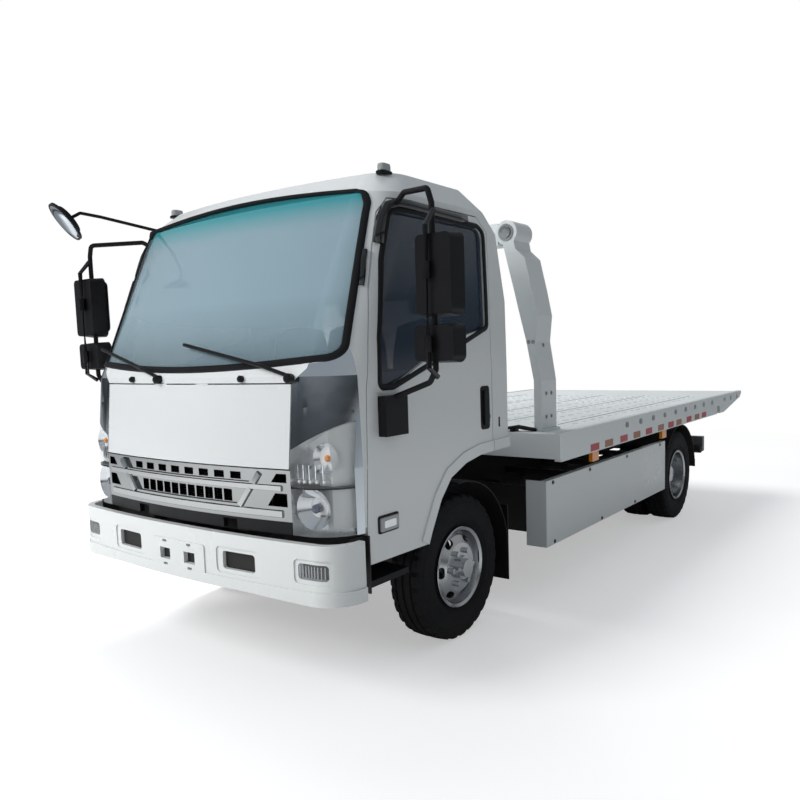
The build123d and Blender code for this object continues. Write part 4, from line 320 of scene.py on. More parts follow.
LAMP_HOUSING = finish("lamp_housing", (0.13, 0.135, 0.145), 0.45, coat=0.2)
SIDE_LENS = finish("side_lens", (0.36, 0.37, 0.37), 0.12, coat=1.0)
for material in (BLACK, CHASSIS, RUBBER, SEAL):
    feed(material.node_tree.nodes["Principled BSDF"], {"Specular IOR Level": DULL_SPECULAR})
print("materials:", len(bpy.data.materials))

# %% [markdown]
# ## Glass
# The windscreen has a blue-green shade band along its top. Real glass bends light twice
# and makes noise in a render, so this one is a see-through sheet under a clear coat: a
# mix of tint and gloss that also works in an exported model. Low down the windscreen
# covers less, where the photograph shows the seats through it.


# %% Window glass with a shade band
BAND_COVER = 0.4
LEAST_COVER = 0.35
GLASS_ROUGHNESS = 0.02
ABOVE_ALL = (5.0, 6.0)


def window_glass(name, tint, alpha, band, band_tint, clear_low=None):
    """Tinted sheet: it covers more in a band of heights, and less low down."""
    material, tree, shader = new_material(name)
    place = put(tree, "ShaderNodeTexCoord").outputs["Object"]
    rise = put(tree, "ShaderNodeSeparateXYZ", {0: place}).outputs["Z"]

    def ramp(value, start, end, low=0.0, high=1.0):
        ends = {"From Min": start, "From Max": end, "To Min": low, "To Max": high}
        return put(tree, "ShaderNodeMapRange", {"Value": value, **ends}).outputs[0]

    share = ramp(rise, *band)
    tints = {"Factor": share, 6: (*tint, 1), 7: (*band_tint, 1)}
    colour = put(tree, "ShaderNodeMix", tints, data_type="RGBA").outputs[2]
    cover = ramp(share, 0.0, 1.0, alpha, min(alpha + BAND_COVER, 1.0))
    if clear_low:
        cover = maths(tree, "MULTIPLY", ramp(rise, *clear_low, LEAST_COVER), cover)
    feed(shader, {"Base Color": colour, "Alpha": cover, "Roughness": GLASS_ROUGHNESS})
    feed(shader, {"Coat Weight": 1.0, "Coat Roughness": GLASS_ROUGHNESS})
    return material


SCREEN_GLASS = window_glass(
    "screen_glass", (0.40, 0.56, 0.64), 0.58, (2.13, 2.25), (0.04, 0.30, 0.34), (1.45, 1.80)
)
SIDE_GLASS = window_glass(
    "side_glass", (0.035, 0.055, 0.085), 0.78, ABOVE_ALL, (0.02, 0.02, 0.02)
)
CLEAR_LENS = window_glass("clear_lens", (0.75, 0.78, 0.80), 0.10, ABOVE_ALL, (0.8, 0.8, 0.8))
print("glass: 3")

# %% [markdown]
# ## A finish for every solid
# Each solid of the frame wears one finish. A short table says which, tyres and rims go
# by the start of their name, and whatever hangs below and isn't named is black chassis.

# %% Give every solid its finish
WORN_BY = [
    (PAINT, "cab_shell front_lid door_left door_right"),
    (DARK_CHROME, "corner_panels"),
    (SCREEN_GLASS, "cab_glass"),
    (SIDE_GLASS, "door_glass_left door_glass_right"),
    (CHROME, "grille"),
    (BLACK, "valance steering_wheel wipers mirror_left mirror_right front_mudguards"),
    (SATIN, "headlamps"),
    (CLEAR_LENS, "fog_lamps"),
    (BUMPER_PAINT, "front_bumper"),
    (CLOTH, "seats"),
    (CABIN_GREY, "dashboard cab_floor"),
    (CAST, "drive_line"),
    (LAMP_HOUSING, "tail_lamps"),
    (DECK_TOP, "deck_floor"),
    (DECK_PAINT, "deck_rails posts post_beam"),
    (SKIRT_PAINT, "side_skirts"),
    (STEEL, "slide_rod tilt_rods winch_drum"),
]
finish_of = {name: material for material, names in WORN_BY for name in names.split()}
for node_name, node in nodes.items():
    if node_name.startswith("tyre"):
        material = RUBBER
    elif node_name.startswith("rim"):
        material = WHEEL
    else:
        material = finish_of.get(node_name, CHASSIS)
    node.data.materials.clear()
    node.data.materials.append(material)
print("finished nodes:", len(nodes))

# %% [markdown]
# ## Finding a surface
# A seal, a lamp or a bolt sits on a curved sheet. A ray shot at the sheet finds the
# point where it belongs, so the piece is placed by the solid itself and stays true
# when the solid changes.


# %% Rays onto solids
def tree_of(*names):
    """Search tree over the faces of some CAD nodes."""
    corners = []
    faces = []
    for name in names:
        start = len(corners)
        mesh = nodes[name].data
        corners += [v.co.copy() for v in mesh.vertices]
        faces += [tuple(start + i for i in p.vertices) for p in mesh.polygons]
    return BVHTree.FromPolygons(corners, faces)


CAB_SKIN = tree_of(
    "cab_shell", "front_lid", "corner_panels", "headlamps", "grille", "valance", "cab_glass"
)
SIDE_SKIN = tree_of(
    "cab_shell", "door_left", "door_right", "door_glass_left", "door_glass_right",
    "corner_panels",
)
SIDES = ((1, "left"), (-1, "right"))
GAP_STEP = 0.008


def from_front(skin, y, z):
    """Point and outward normal where a ray from ahead meets the skin."""
    point, normal, _, _ = skin.ray_cast(Vector((6, y, z)), Vector((-1, 0, 0)))
    return point, -normal if normal.x < 0 else normal


def from_side(skin, side, x, z):
    """Point and outward normal where a ray from one side meets the skin, past a gap too."""
    for step in range(8):
        start = Vector((x + GAP_STEP * step, side * 4, z))
        point, normal, _, _ = skin.ray_cast(start, Vector((0, -side, 0)))
        if point:
            break
    return point, -normal if normal.y * side < 0 else normal


print("skins ready")

# %% [markdown]
# ## Small shapes by hand
# Trim is made of few shapes: a strip that follows a line, a round head, a box and a
# rounded plate. Each helper gives points and faces as plain lists. Several of them
# then become one mesh that rides on one body, so a set of lamps stays one piece.


# %% Strips, discs, blocks and plates
def add_piece(name, mesh, material, body, smooth):
    """Object with a mesh in the frame of the solids, that rides on a body."""
    mesh.polygons.foreach_set("use_smooth", [smooth] * len(mesh.polygons))
    mesh.materials.append(material)
    piece = new_object(name, mesh)
    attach(piece, body)
    return piece


def join_parts(name, parts, material, body, smooth=False):
    """One piece from several (verts, faces) pairs."""
    verts = []
    faces = []
    for part_verts, part_faces in parts:
        start = len(verts)
        verts += [tuple(vert) for vert in part_verts]
        faces += [tuple(start + i for i in face) for face in part_faces]
    mesh = bpy.data.meshes.new(name)
    mesh.from_pydata(verts, [], faces)
    mesh.validate()
    mesh.update()
    return add_piece(name, mesh, material, body, smooth)


def circle(centre, turn, radius, z, sides):
    """Points of a circle at height z along a turned axis."""
    spots = []
    for k in range(sides):
        angle = 2 * math.pi * k / sides
        flat = Vector((radius * math.cos(angle), radius * math.sin(angle), z))
        spots.append(centre + turn @ flat)
    return spots


def ring_faces(steps, sides, capped=True):
    """Faces between rings of points, and over both ends."""
    faces = [tuple(reversed(range(sides)))] if capped else []
    for ring in range(steps):
        for k in range(sides):
            a = ring * sides + k
            b = ring * sides + (k + 1) % sides
            faces.append((a, b, b + sides, a + sides))
    if capped:
        faces.append(tuple(range(steps * sides, (steps + 1) * sides)))
    return faces


SINK = 0.002
TOP_SHARE = 0.7
DOME_SHARE = 0.55
PLATE_SINK = 0.003
PLATE_TOP = 0.9


def ribbon(points, normals, width, height, closed=False):
    """Strip with a flat section that follows points on a surface."""
    verts = []
    faces = []
    count = len(points)
    for index, (point, normal) in enumerate(zip(points, normals)):
        before = points[index - 1] if closed or index else point
        after = points[(index + 1) % count] if closed or index < count - 1 else point
        along = (after - before).normalized()
        across = along.cross(normal).normalized() * width / 2
        rise = normal * height
        dip = normal * -SINK
        verts += [point + across + dip, point - across + dip]
        verts += [point - across * TOP_SHARE + rise, point + across * TOP_SHARE + rise]
    for index in range(count if closed else count - 1):
        a = index * 4
        b = ((index + 1) % count) * 4
        for k in range(4):
            faces.append((a + k, a + (k + 1) % 4, b + (k + 1) % 4, b + k))
    if not closed:
        faces.append((3, 2, 1, 0))
        faces.append(tuple(range(count * 4 - 4, count * 4)))
    return verts, faces


def disc(point, normal, radius, height, sides=12, dome=0.0):
    """Round head on a surface, with an optional dome."""
    turn = normal.to_track_quat("Z", "Y").to_matrix()
    verts = circle(point, turn, radius, -SINK, sides)
    verts += circle(point, turn, radius, height, sides)
    verts += circle(point, turn, radius * DOME_SHARE, height + dome, sides)
    return verts, ring_faces(2, sides)


def block(low, high):
    """Box between two corners."""
    x0, y0, z0 = low
    x1, y1, z1 = high
    flat = ((x0, y0), (x1, y0), (x1, y1), (x0, y1))
    verts = [Vector((x, y, z)) for z in (z0, z1) for x, y in flat]
    faces = [(3, 2, 1, 0), (4, 5, 6, 7), (0, 1, 5, 4), (1, 2, 6, 5), (2, 3, 7, 6), (3, 0, 4, 7)]
    return verts, faces


def pill(point, normal, up_hint, width, height, depth, corner=0.3, sides=5):
    """Rounded plate that lies on a surface."""
    out = normal.normalized()
    side_way = up_hint.cross(out).normalized()
    up_way = out.cross(side_way)
    edge = []
    radius = min(width, height) / 2 * corner
    for cx, cy, start in ((1, 1, 0), (-1, 1, 90), (-1, -1, 180), (1, -1, 270)):
        for k in range(sides):
            angle = math.radians(start + 90 * k / (sides - 1))
            a = cx * (width / 2 - radius) + radius * math.cos(angle)
            b = cy * (height / 2 - radius) + radius * math.sin(angle)
            edge.append((a, b))
    verts = []
    for z, shrink in ((-PLATE_SINK, 1.0), (depth * TOP_SHARE, 1.0), (depth, PLATE_TOP)):
        for a, b in edge:
            verts.append(point + side_way * a * shrink + up_way * b * shrink + out * z)
    return verts, ring_faces(2, len(edge))


print("shapes: ribbon, disc, block, pill")

# %% [markdown]
# ## Seals and dark edges
# The windscreen sits in a wide black rubber. Its path is a rounded outline seen from
# the front, dropped onto the cab by rays. The side windows get theirs the same way,
# from the side.


# %% Windscreen and side window rubbers
LOOP_SPACING = 0.06
AXLE_X = 1.905
SCREEN_MIDDLE = Vector((0, 1.85))


def hull_loop(points):
    """Convex outline of flat points, in order."""
    points = sorted({(round(p.x, 4), round(p.y, 4)) for p in points})

    def turns_in(chain, p):
        (ax, ay), (bx, by) = chain[-2:]
        return (bx - ax) * (p[1] - ay) - (by - ay) * (p[0] - ax) <= 0

    def half(sequence):
        chain = []
        for p in sequence:
            while len(chain) > 1 and turns_in(chain, p):
                chain.pop()
            chain.append(p)
        return chain

    loop = half(points)[:-1] + half(points[::-1])[:-1]
    return [Vector(p) for p in loop]


def even_loop(loop, spacing):
    """Points along a closed loop at an even spacing."""
    full = []
    for index, here in enumerate(loop):
        after = loop[(index + 1) % len(loop)]
        parts = max(1, round((after - here).length / spacing))
        full += [here.lerp(after, k / parts) for k in range(parts)]
    return full


def dropped(loop, middle, gap, meet):
    """Points and normals where a loop, set outwards by a gap, meets a skin."""
    return zip(*[meet(*(flat + (flat - middle).normalized() * gap)) for flat in loop])


glass_verts = nodes["cab_glass"].data.vertices
screen = hull_loop([Vector((v.co.y, v.co.z)) for v in glass_verts if v.co.x > AXLE_X])
loop = even_loop(screen, LOOP_SPACING)
points, normals = dropped(loop, SCREEN_MIDDLE, 0.004, lambda y, z: from_front(CAB_SKIN, y, z))
smooth_normals = []
for index in range(len(normals)):
    near = [normals[(index + k) % len(normals)] for k in (-2, -1, 0, 1, 2)]
    smooth_normals.append(sum(near, Vector()).normalized())
rubber = ribbon(points, smooth_normals, 0.038, 0.007, True)
join_parts("screen_rubber", [rubber], SEAL, "cab", True)

for side, side_name in SIDES:
    pane_verts = nodes["door_glass_" + side_name].data.vertices
    loop = even_loop(hull_loop([Vector((v.co.x, v.co.z)) for v in pane_verts]), LOOP_SPACING)
    middle = sum(loop, Vector((0, 0))) / len(loop)
    found = dropped(loop, middle, 0.006, lambda x, z: from_side(SIDE_SKIN, side, x, z))
    rubber = ribbon(*found, 0.03, 0.005, True)
    join_parts("window_rubber_" + side_name, [rubber], SEAL, "door_" + side_name, True)
print("rubbers: 3")

# %% [markdown]
# ## What repeats
# Bolts, ribs and tape differ only in size and place. A node group sets one small body
# on every point of a mesh of loose points, turned to the directions stored there, and
# the result becomes a plain mesh that rides with its part.


# %% Node groups that set a small body on every point
HEAD_SIDES = 6
WASHER_SIDES = 12
WASHER_SHEET = 0.0015


def point_group(name, *sizes):
    """Geometry node group with named inputs for points, sizes and a material."""
    group = bpy.data.node_groups.new(name, "GeometryNodeTree")
    face = group.interface
    face.new_socket("Points", in_out="INPUT", socket_type="NodeSocketGeometry")
    for size_name in sizes:
        face.new_socket(size_name, in_out="INPUT", socket_type="NodeSocketFloat")
    face.new_socket("Material", in_out="INPUT", socket_type="NodeSocketMaterial")
    face.new_socket("Pieces", in_out="OUTPUT", socket_type="NodeSocketGeometry")
    return group, group.nodes.new("NodeGroupInput").outputs


def raise_body(group, source, height):
    """Lift a body made round its middle by half its height."""
    offset = put(group, "ShaderNodeCombineXYZ", {"Z": maths(group, "MULTIPLY", height, 0.5)})
    move = {"Geometry": source, "Translation": offset.outputs[0]}
    return put(group, "GeometryNodeTransform", move).outputs[0]


def spread(group, given, source):
    """One body on each point: z along the stored facing, x along the stored heading."""
    turned = None
    for axis, name in (("Z", "facing"), ("X", "heading")):
        kind = "GeometryNodeInputNamedAttribute"
        stored = put(group, kind, {"Name": name}, data_type="FLOAT_VECTOR")
        way = {"Vector": stored.outputs["Attribute"]}
        align = put(group, "FunctionNodeAlignRotationToVector", way, axis=axis)
        if turned:
            align.pivot_axis = "Z"
            feed(align, {"Rotation": turned})
        turned = align.outputs[0]
    on_points = {"Points": given["Points"], "Instance": source, "Rotation": turned}
    spots = put(group, "GeometryNodeInstanceOnPoints", on_points)
    real = put(group, "GeometryNodeRealizeInstances", {"Geometry": spots.outputs[0]})
    paint = {"Geometry": real.outputs[0], "Material": given["Material"]}
    painted = put(group, "GeometryNodeSetMaterial", paint)
    put(group, "NodeGroupOutput", {"Pieces": painted.outputs[0]})


def bolt_group():
    """A head with straight sides over a round washer."""
    group, given = point_group("bolts", "Radius", "Height", "Washer")
    both = group.nodes.new("GeometryNodeJoinGeometry")
    head = (HEAD_SIDES, given["Radius"], given["Height"])
    for sides, radius, height in (head, (WASHER_SIDES, given["Washer"], WASHER_SHEET)):
        size = {"Vertices": sides, "Radius": radius, "Depth": height}
        body = put(group, "GeometryNodeMeshCylinder", size).outputs["Mesh"]
        feed(both, {0: raise_body(group, body, height)})
    spread(group, given, both.outputs[0])
    return group


def bar_group():
    """A box that lies along its heading."""
    group, given = point_group("bars", "Length", "Width", "Height")
    sides = {"X": given["Length"], "Y": given["Width"], "Z": given["Height"]}
    size = put(group, "ShaderNodeCombineXYZ", sides).outputs[0]
    body = put(group, "GeometryNodeMeshCube", {"Size": size}).outputs["Mesh"]
    spread(group, given, raise_body(group, body, given["Height"]))
    return group


def grown(name, group, spots, sizes, material, body):
    """Plain mesh that a node group grows on spots of (place, facing, heading)."""
    base = bpy.data.meshes.new(name + "_points")
    base.from_pydata([tuple(place) for place, _, _ in spots], [], [])
    for attribute_name, column in (("facing", 1), ("heading", 2)):
        stored = base.attributes.new(attribute_name, "FLOAT_VECTOR", "POINT")
        stored.data.foreach_set("vector", [number for spot in spots for number in spot[column]])
    piece = new_object(name, base)
    modifier = piece.modifiers.new("grow", "NODES")
    modifier.node_group = group
    inputs = [item for item in group.interface.items_tree if item.in_out == "INPUT"]
    for item, value in (*zip(inputs[1:], sizes), (inputs[-1], material)):
        modifier[item.identifier] = value
    graph = bpy.context.evaluated_depsgraph_get()
    mesh = bpy.data.meshes.new_from_object(piece.evaluated_get(graph), depsgraph=graph)
    piece.modifiers.clear()
    piece.data = mesh
    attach(piece, body)
    return piece


BOLTS = bolt_group()
BARS = bar_group()
print("groups:", BOLTS.name, BARS.name)

# %% [markdown]
# ## Deck ribs, tape and bolts
# A recovery deck has small raised ribs so that shoes grip, welded seams across it, and
# red and amber tape along its sides. Each is a row of spots for the node groups: where
# a bar stands, which way it faces and which way it lies. Tape is a bar of 2.5 mm.

# %% Deck ribs, seams, tape and bolts
DECK_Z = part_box("deck_floor")[1].z
RAIL_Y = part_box("deck_rails")[1].y
RIB_PITCH = 0.145
RIB_SHIFT = 0.03
TAPE_Z = 0.905
SEAM_PLACES = (-0.798, -0.363, 0.072, 0.508, 0.943)
# bars: length, width, height; bolts: radius, height, radius of the washer
RIB_SIZE = (0.07, 0.014, 0.0035)
SEAM_SIZE = (2.84, 0.008, 0.0012)
TAPE_SIZE = (0.135, 0.045, 0.0025)
SKIRT_BOLT = (0.009, 0.007, 0.014)
POST_BOLT = (0.008, 0.006, 0.013)
rib_spots = []
for row in range(-7, 8):
    for step in range(19):
        x = -2.0 + RIB_PITCH * step + RIB_SHIFT * (row % 2)
        rib_spots.append((Vector((x, RIB_PITCH * row, DECK_Z)), Z_WAY, X_WAY))
grown("deck_ribs", BARS, rib_spots, RIB_SIZE, DECK_TOP, "deck")
seams = [(Vector((-0.69, y, DECK_Z)), Z_WAY, X_WAY) for y in SEAM_PLACES]
grown("deck_seams", BARS, seams, SEAM_SIZE, CABIN_GREY, "deck")
TAPES = [
    ("red_tape_", RED_TAPE, (0.749, 0.257, -0.239, -0.744, -1.216, -1.658)),
    ("amber_tape_", AMBER_TAPE, (0.52, 0.009, -0.505, -0.946, -1.446)),
]
SKIRT_BOLTS = [
    # x, z
    (1.103, 0.727), (0.555, 0.727), (-0.111, 0.727), (-0.84, 0.727),
    (1.086, 0.362), (0.358, 0.362), (-0.274, 0.362),
]
skirt_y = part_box("side_skirts")[1].y
for side, side_name in SIDES:
    out = Y_WAY * side
    for name, colour, places in TAPES:
        spots = [(Vector((x, side * (RAIL_Y - 0.002), TAPE_Z)), out, X_WAY) for x in places]
        grown(name + side_name, BARS, spots, TAPE_SIZE, colour, "deck")
    spots = [(Vector((x, side * (skirt_y - 0.001), z)), out, X_WAY) for x, z in SKIRT_BOLTS]
    grown("skirt_bolts_" + side_name, BOLTS, spots, SKIRT_BOLT, GLOSS_BLACK, "chassis")
POST_SKIN = tree_of("posts")
post_spots = []
for side in (1, -1):
    for x, z in ((1.012, 1.12), (1.08, 1.12), (1.012, 1.26), (1.08, 1.26), (1.045, 1.55)):
        post_spots.append((*from_side(POST_SKIN, side, x, z), X_WAY))
    for y in (0.955, 0.985):
        post_spots.append((*from_front(POST_SKIN, side * y, 1.57), Y_WAY))
grown("post_bolts", BOLTS, post_spots, POST_BOLT, STEEL, "deck")
print("deck ribs:", len(rib_spots), "post bolts:", len(post_spots))

# %% [markdown]
# ## Lamps
# A lamp is a clear lens over a bright bowl. The lens is a copy of the solid's own front
# faces, and the housing is the same sheet pushed inwards, so both follow the solid. The
# bowls are rings of points that shrink towards the back.


# %% Headlamps with lens, bowls and bulbs
FACES_FRONT = 0.25
LENS_DEPTH = Vector((-0.07, 0, 0))
BEHIND_LENS = 0.018
BOWL_LAMPS = [
    # y, z, radius, depth
    (0.862, 1.085, 0.068, 0.05),
    (0.805, 0.862, 0.092, 0.06),
]


def lamp_front():
    """Merged copy of the headlamps' faces that look forward."""
    sheet = bmesh.new()
    sheet.from_mesh(nodes["headlamps"].data)
    bmesh.ops.remove_doubles(sheet, verts=sheet.verts, dist=1e-5)
    extra = [face for face in sheet.faces if face.normal.x <= FACES_FRONT]
    bmesh.ops.delete(sheet, geom=extra, context="FACES")
    return sheet


def pushed_in(sheet, push):
    """Turn a sheet into an open bowl: its faces move by push and its rim stays."""
    front = list(sheet.faces)
    made = bmesh.ops.extrude_face_region(sheet, geom=front)
    moved = [item for item in made["geom"] if isinstance(item, bmesh.types.BMVert)]
    bmesh.ops.translate(sheet, verts=moved, vec=push)
    bmesh.ops.delete(sheet, geom=front, context="FACES")
    return sheet


def piece_from(sheet, name, material, body, smooth=False):
    """Finish a bmesh as a piece that rides on a body."""
    mesh = bpy.data.meshes.new(name)
    sheet.to_mesh(mesh)
    sheet.free()
    return add_piece(name, mesh, material, body, smooth)


def bowl(centre, aim, radius, depth, sides=18, rings=5):
    """Open reflector bowl that faces aim, with its inner side outwards."""
    turn = aim.to_track_quat("Z", "Y").to_matrix()
    verts = []
    for ring in range(rings + 1):
        share = 1 - ring / (rings + 1)
        verts += circle(centre, turn, radius * share, depth * (share * share - 1), sides)
    verts.append(centre + turn @ Vector((0, 0, -depth)))
    faces = ring_faces(rings, sides, capped=False)
    last = rings * sides
    faces += [(last + k, last + (k + 1) % sides, len(verts) - 1) for k in range(sides)]
    return verts, faces


lamp_lens = piece_from(lamp_front(), "headlamp_lens", CLEAR_LENS, "cab", True)
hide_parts("headlamps")
piece_from(pushed_in(lamp_front(), LENS_DEPTH), "headlamp_housing", LAMP_SILVER, "cab")
LAMP_SKIN = tree_of("headlamps")
bowls = []
bulbs = ([], [])
dots = []
ribs = []
for side in (1, -1):
    for (y, z, radius, depth), store in zip(BOWL_LAMPS, bulbs):
        place, _ = from_front(LAMP_SKIN, side * y, z)
        aim = Vector((1, 0.12 * side, 0)).normalized()
        centre = place - aim * BEHIND_LENS + Vector((-0.004, 0, 0))
        bowls.append(bowl(centre, aim, radius, depth))
        tip = centre - aim * depth * 0.8
        store.append(disc(tip, aim, radius * 0.22, depth * 0.6, 10, 0.006))
    for k in range(5):
        place, _ = from_front(LAMP_SKIN, side * (0.732 + 0.03 * k), 0.982)
        dots.append(disc(place - X_WAY * 0.03, X_WAY, 0.008, 0.006, 10, 0.003))
        low = place + Vector((-0.06, -0.002, 0.012))
        ribs.append(block(low, place + Vector((-0.02, 0.002, 0.075))))
blue_glass = finish("blue_glass", (0.02, 0.03, 0.10), 0.1, coat=0.8)
bright_dot = finish("bright_dot", (0.9, 0.9, 0.88), 0.2, coat=0.5)
join_parts("headlamp_bowls", bowls, REFLECTOR, "cab", True)
join_parts("headlamp_bulbs", bulbs[0], AMBER, "cab", True)
join_parts("headlamp_glass_bulbs", bulbs[1], blue_glass, "cab", True)
join_parts("headlamp_dots", dots, bright_dot, "cab")
join_parts("headlamp_dividers", ribs, REFLECTOR, "cab")
print("lamp bowls:", len(bowls), "dots:", len(dots), "dividers:", len(ribs))

# %% [markdown]
# ## Grille and fog lamps
# Behind the chrome panel lies a dark mesh, so its slots read as deep. Over the panel
# stand bright bars: two across, and slanted ones from the lower bar up to the lid. Each
# is a ribbon through points where rays meet the panel, so it follows the swept nose.

# %% Grille backing, bars and fog lamp ribs
GRILLE_LOW, GRILLE_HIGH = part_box("grille")
GRILLE_SKIN = tree_of("grille")
MESH_PITCH = 0.0125
UPRIGHT_PITCH = 0.06
BAR_HEIGHT = 0.009
low = (2.80, GRILLE_LOW.y + 0.012, GRILLE_LOW.z + 0.004)
high = (2.812, GRILLE_HIGH.y - 0.012, GRILLE_HIGH.z - 0.004)
join_parts("grille_backing", [block(low, high)], GLOSS_BLACK, "cab")
mesh_bars = []
for k in range(17):
    mesh_bars.append((Vector((2.813, 0, GRILLE_LOW.z + 0.014 + MESH_PITCH * k)), X_WAY, Y_WAY))
grown("grille_mesh", BARS, mesh_bars, (1.36, 0.003, 0.008), BLACK, "cab")
middle_z = (GRILLE_LOW.z + GRILLE_HIGH.z) / 2
uprights = []
for k in range(23):
    uprights.append((Vector((2.814, -0.66 + UPRIGHT_PITCH * k, middle_z)), X_WAY, Z_WAY))
grown("grille_uprights", BARS, uprights, (0.2, 0.004, 0.012), SATIN, "cab")
plate = block((2.822, -0.46, 0.992), (2.846, 0.46, 1.028))
grille_grey = finish("grille_grey", (0.30, 0.30, 0.30), 0.35, coat=0.3)
join_parts("grille_upper_plate", [plate], grille_grey, "cab")
across = (-0.66, -0.44, -0.22, 0.0, 0.22, 0.44, 0.66)
bar_paths = [
    # points (y, z) along a bar, and its width
    ([(y, 0.951) for y in across], 0.030),
    ([(y, 0.836) for y in across], 0.038),
]
SLANTED = (
    ((0.412, 0.858), (0.437, 0.890), (0.462, 0.922), (0.480, 0.944)),
    ((0.500, 0.966), (0.518, 0.990), (0.536, 1.014)),
)
for side in (1, -1):
    bar_paths += [([(side * y, z) for y, z in path], 0.034) for path in SLANTED]
grille_bars = []
for path, width in bar_paths:
    met = [from_front(GRILLE_SKIN, y, z)[0] for y, z in path]
    grille_bars.append(ribbon(met, [X_WAY] * len(met), width, BAR_HEIGHT))
join_parts("grille_bars", grille_bars, BAR_CHROME, "cab")
FOG_SKIN = tree_of("fog_lamps")
fog_ribs = []
for side in (1, -1):
    for k in range(9):
        place, normal = from_front(FOG_SKIN, side * (0.788 + 0.0155 * k), 0.607)
        fog_ribs.append((place - normal * 0.001, normal, Z_WAY))
grown("fog_ribs", BARS, fog_ribs, (0.055, 0.006, 0.003), SATIN, "chassis")
print("grille bars:", len(bar_paths), "fog ribs:", len(fog_ribs))

# %% [markdown]
# ## Trim on the cab
# Door handles, locks, side lamps, rain visors and the strips on the pillars are flat
# rounded plates or ribbons. Each one is set where a ray meets the door or the shell, and
# those on the door ride with it, so they swing open with it.

# %% Handles, side lamps, visors and roof lamps
VISOR_PATH = [(2.488, 2.02), (2.470, 2.08), (2.446, 2.14), (2.41, 2.195), (2.36, 2.213)]
VISOR_PATH += [(2.36 - 0.07 * k, 2.213 - 0.0015 * k) for k in range(1, 9)]
VISOR_LIFT = 0.6
STRIP_PATH = ((2.597, 1.83), (2.577, 1.885), (2.560, 1.94), (2.541, 1.99))
LAMP_SPOT = (2.55, 0.762)
SIDE_PLATES = [
    # name, (x, z), lift off the skin, (width, height, depth, corner), finish, on the door
    ("side_lamp_rim_", LAMP_SPOT, 0.0, (0.15, 0.082, 0.005, 0.3), BLACK, True),
    ("side_lamp_", LAMP_SPOT, 0.004, (0.132, 0.064, 0.010, 0.3), SIDE_LENS, True),
    ("side_lamp_bowl_", LAMP_SPOT, 0.0135, (0.085, 0.036, 0.002, 0.5), REFLECTOR, True),
    ("side_slot_", (1.533, 1.13), 0.0, (0.014, 0.056, 0.002, 0.4), BLACK, False),
]
for side, side_name in SIDES:
    door = "door_" + side_name
    spot, normal = from_side(SIDE_SKIN, side, 1.682, 1.22)
    recess = pill(spot, normal, Z_WAY, 0.09, 0.235, 0.004, 0.45)
    grip = pill(spot + normal * 0.003, normal, Z_WAY, 0.05, 0.19, 0.014, 0.6)
    join_parts("handle_" + side_name, [recess, grip], BLACK, door)
    spot, normal = from_side(SIDE_SKIN, side, 1.637, 1.17)
    join_parts("lock_" + side_name, [disc(spot, normal, 0.013, 0.003, 14, 0.002)], STEEL, door)
    for name, place, lift, size, material, on_door in SIDE_PLATES:
        spot, normal = from_side(SIDE_SKIN, side, *place)
        plate = pill(spot + normal * lift, normal, Z_WAY, *size)
        join_parts(name + side_name, [plate], material, door if on_door else "cab")
    found = [from_side(SIDE_SKIN, side, x, z) for x, z in VISOR_PATH]
    lean = Vector((0, side * VISOR_LIFT, 0))
    leaning = [(place, (normal + lean).normalized()) for place, normal in found]
    visor = ribbon(*zip(*leaning), 0.05, 0.022)
    join_parts("rain_visor_" + side_name, [visor], GLOSS_BLACK, door, True)
    strip = [from_side(SIDE_SKIN, side, x, z) for x, z in STRIP_PATH]
    band = ribbon(*zip(*strip), 0.03, 0.014)
    join_parts("pillar_strip_" + side_name, [band], GLOSS_BLACK, "cab", True)
    roof, _, _, _ = CAB_SKIN.ray_cast(Vector((2.28, side * 0.80, 4)), Vector((0, 0, -1)))
    foot = pill(roof, Z_WAY, X_WAY, 0.05, 0.09, 0.012, 0.8)
    join_parts("roof_lamp_foot_" + side_name, [foot], BLACK, "cab")
    cap = pill(roof + Z_WAY * 0.011, Z_WAY, X_WAY, 0.042, 0.07, 0.034, 0.8)
    join_parts("roof_lamp_" + side_name, [cap], SIDE_LENS, "cab")
COWL_Z = 1.432
for y, side_name in ((-0.427, "right"), (0.42, "left")):
    nozzle = disc(*from_front(CAB_SKIN, y, COWL_Z), 0.016, 0.014, 12, 0.008)
    join_parts("washer_nozzle_" + side_name, [nozzle], BLACK, "cab")
knobs = [disc(*from_front(CAB_SKIN, y, COWL_Z), 0.022, 0.026, 14, 0.008) for y in (0.700, -0.175)]
join_parts("wiper_knobs", knobs, BLACK, "cab")
print("trim on each side:", len(SIDE_PLATES) + 7)

# %% [markdown]
# ## Mirror glass and tail lamps
# A door mirror has a large glass and a small wide one below it, both on the side that
# looks back. A ray from behind finds the head's rear face for each. The tail lamps are
# plain housings, so a row of thin coloured plates makes their red and amber fields.

# %% Mirror glass and tail lamp lenses
for side, side_name in SIDES:
    skin = tree_of("mirror_" + side_name)
    plates = []
    for z, height in ((1.86, 0.30), (1.57, 0.12)):
        place = skin.ray_cast(Vector((-6, side * 1.20, z)), X_WAY)[0]
        plates.append(pill(place, -X_WAY, Z_WAY, 0.17, height, 0.003, 0.35))
    join_parts("mirror_glass_" + side_name, plates, CHROME, "door_" + side_name)
TAIL_LOW, TAIL_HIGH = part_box("tail_lamps")
TAIL_PITCH = 0.072
tail_red = []
tail_clear = []
for side in (1, -1):
    for k, store in enumerate((tail_red, tail_red, tail_clear)):
        y = side * (TAIL_HIGH.y - 0.04 - TAIL_PITCH * k)
        place = Vector((TAIL_LOW.x, y, (TAIL_LOW.z + TAIL_HIGH.z) / 2))
        store.append(pill(place, -X_WAY, Z_WAY, 0.062, 0.105, 0.004, 0.3))
join_parts("tail_red", tail_red, RED_LENS, "chassis")
join_parts("tail_clear", tail_clear, AMBER, "chassis")
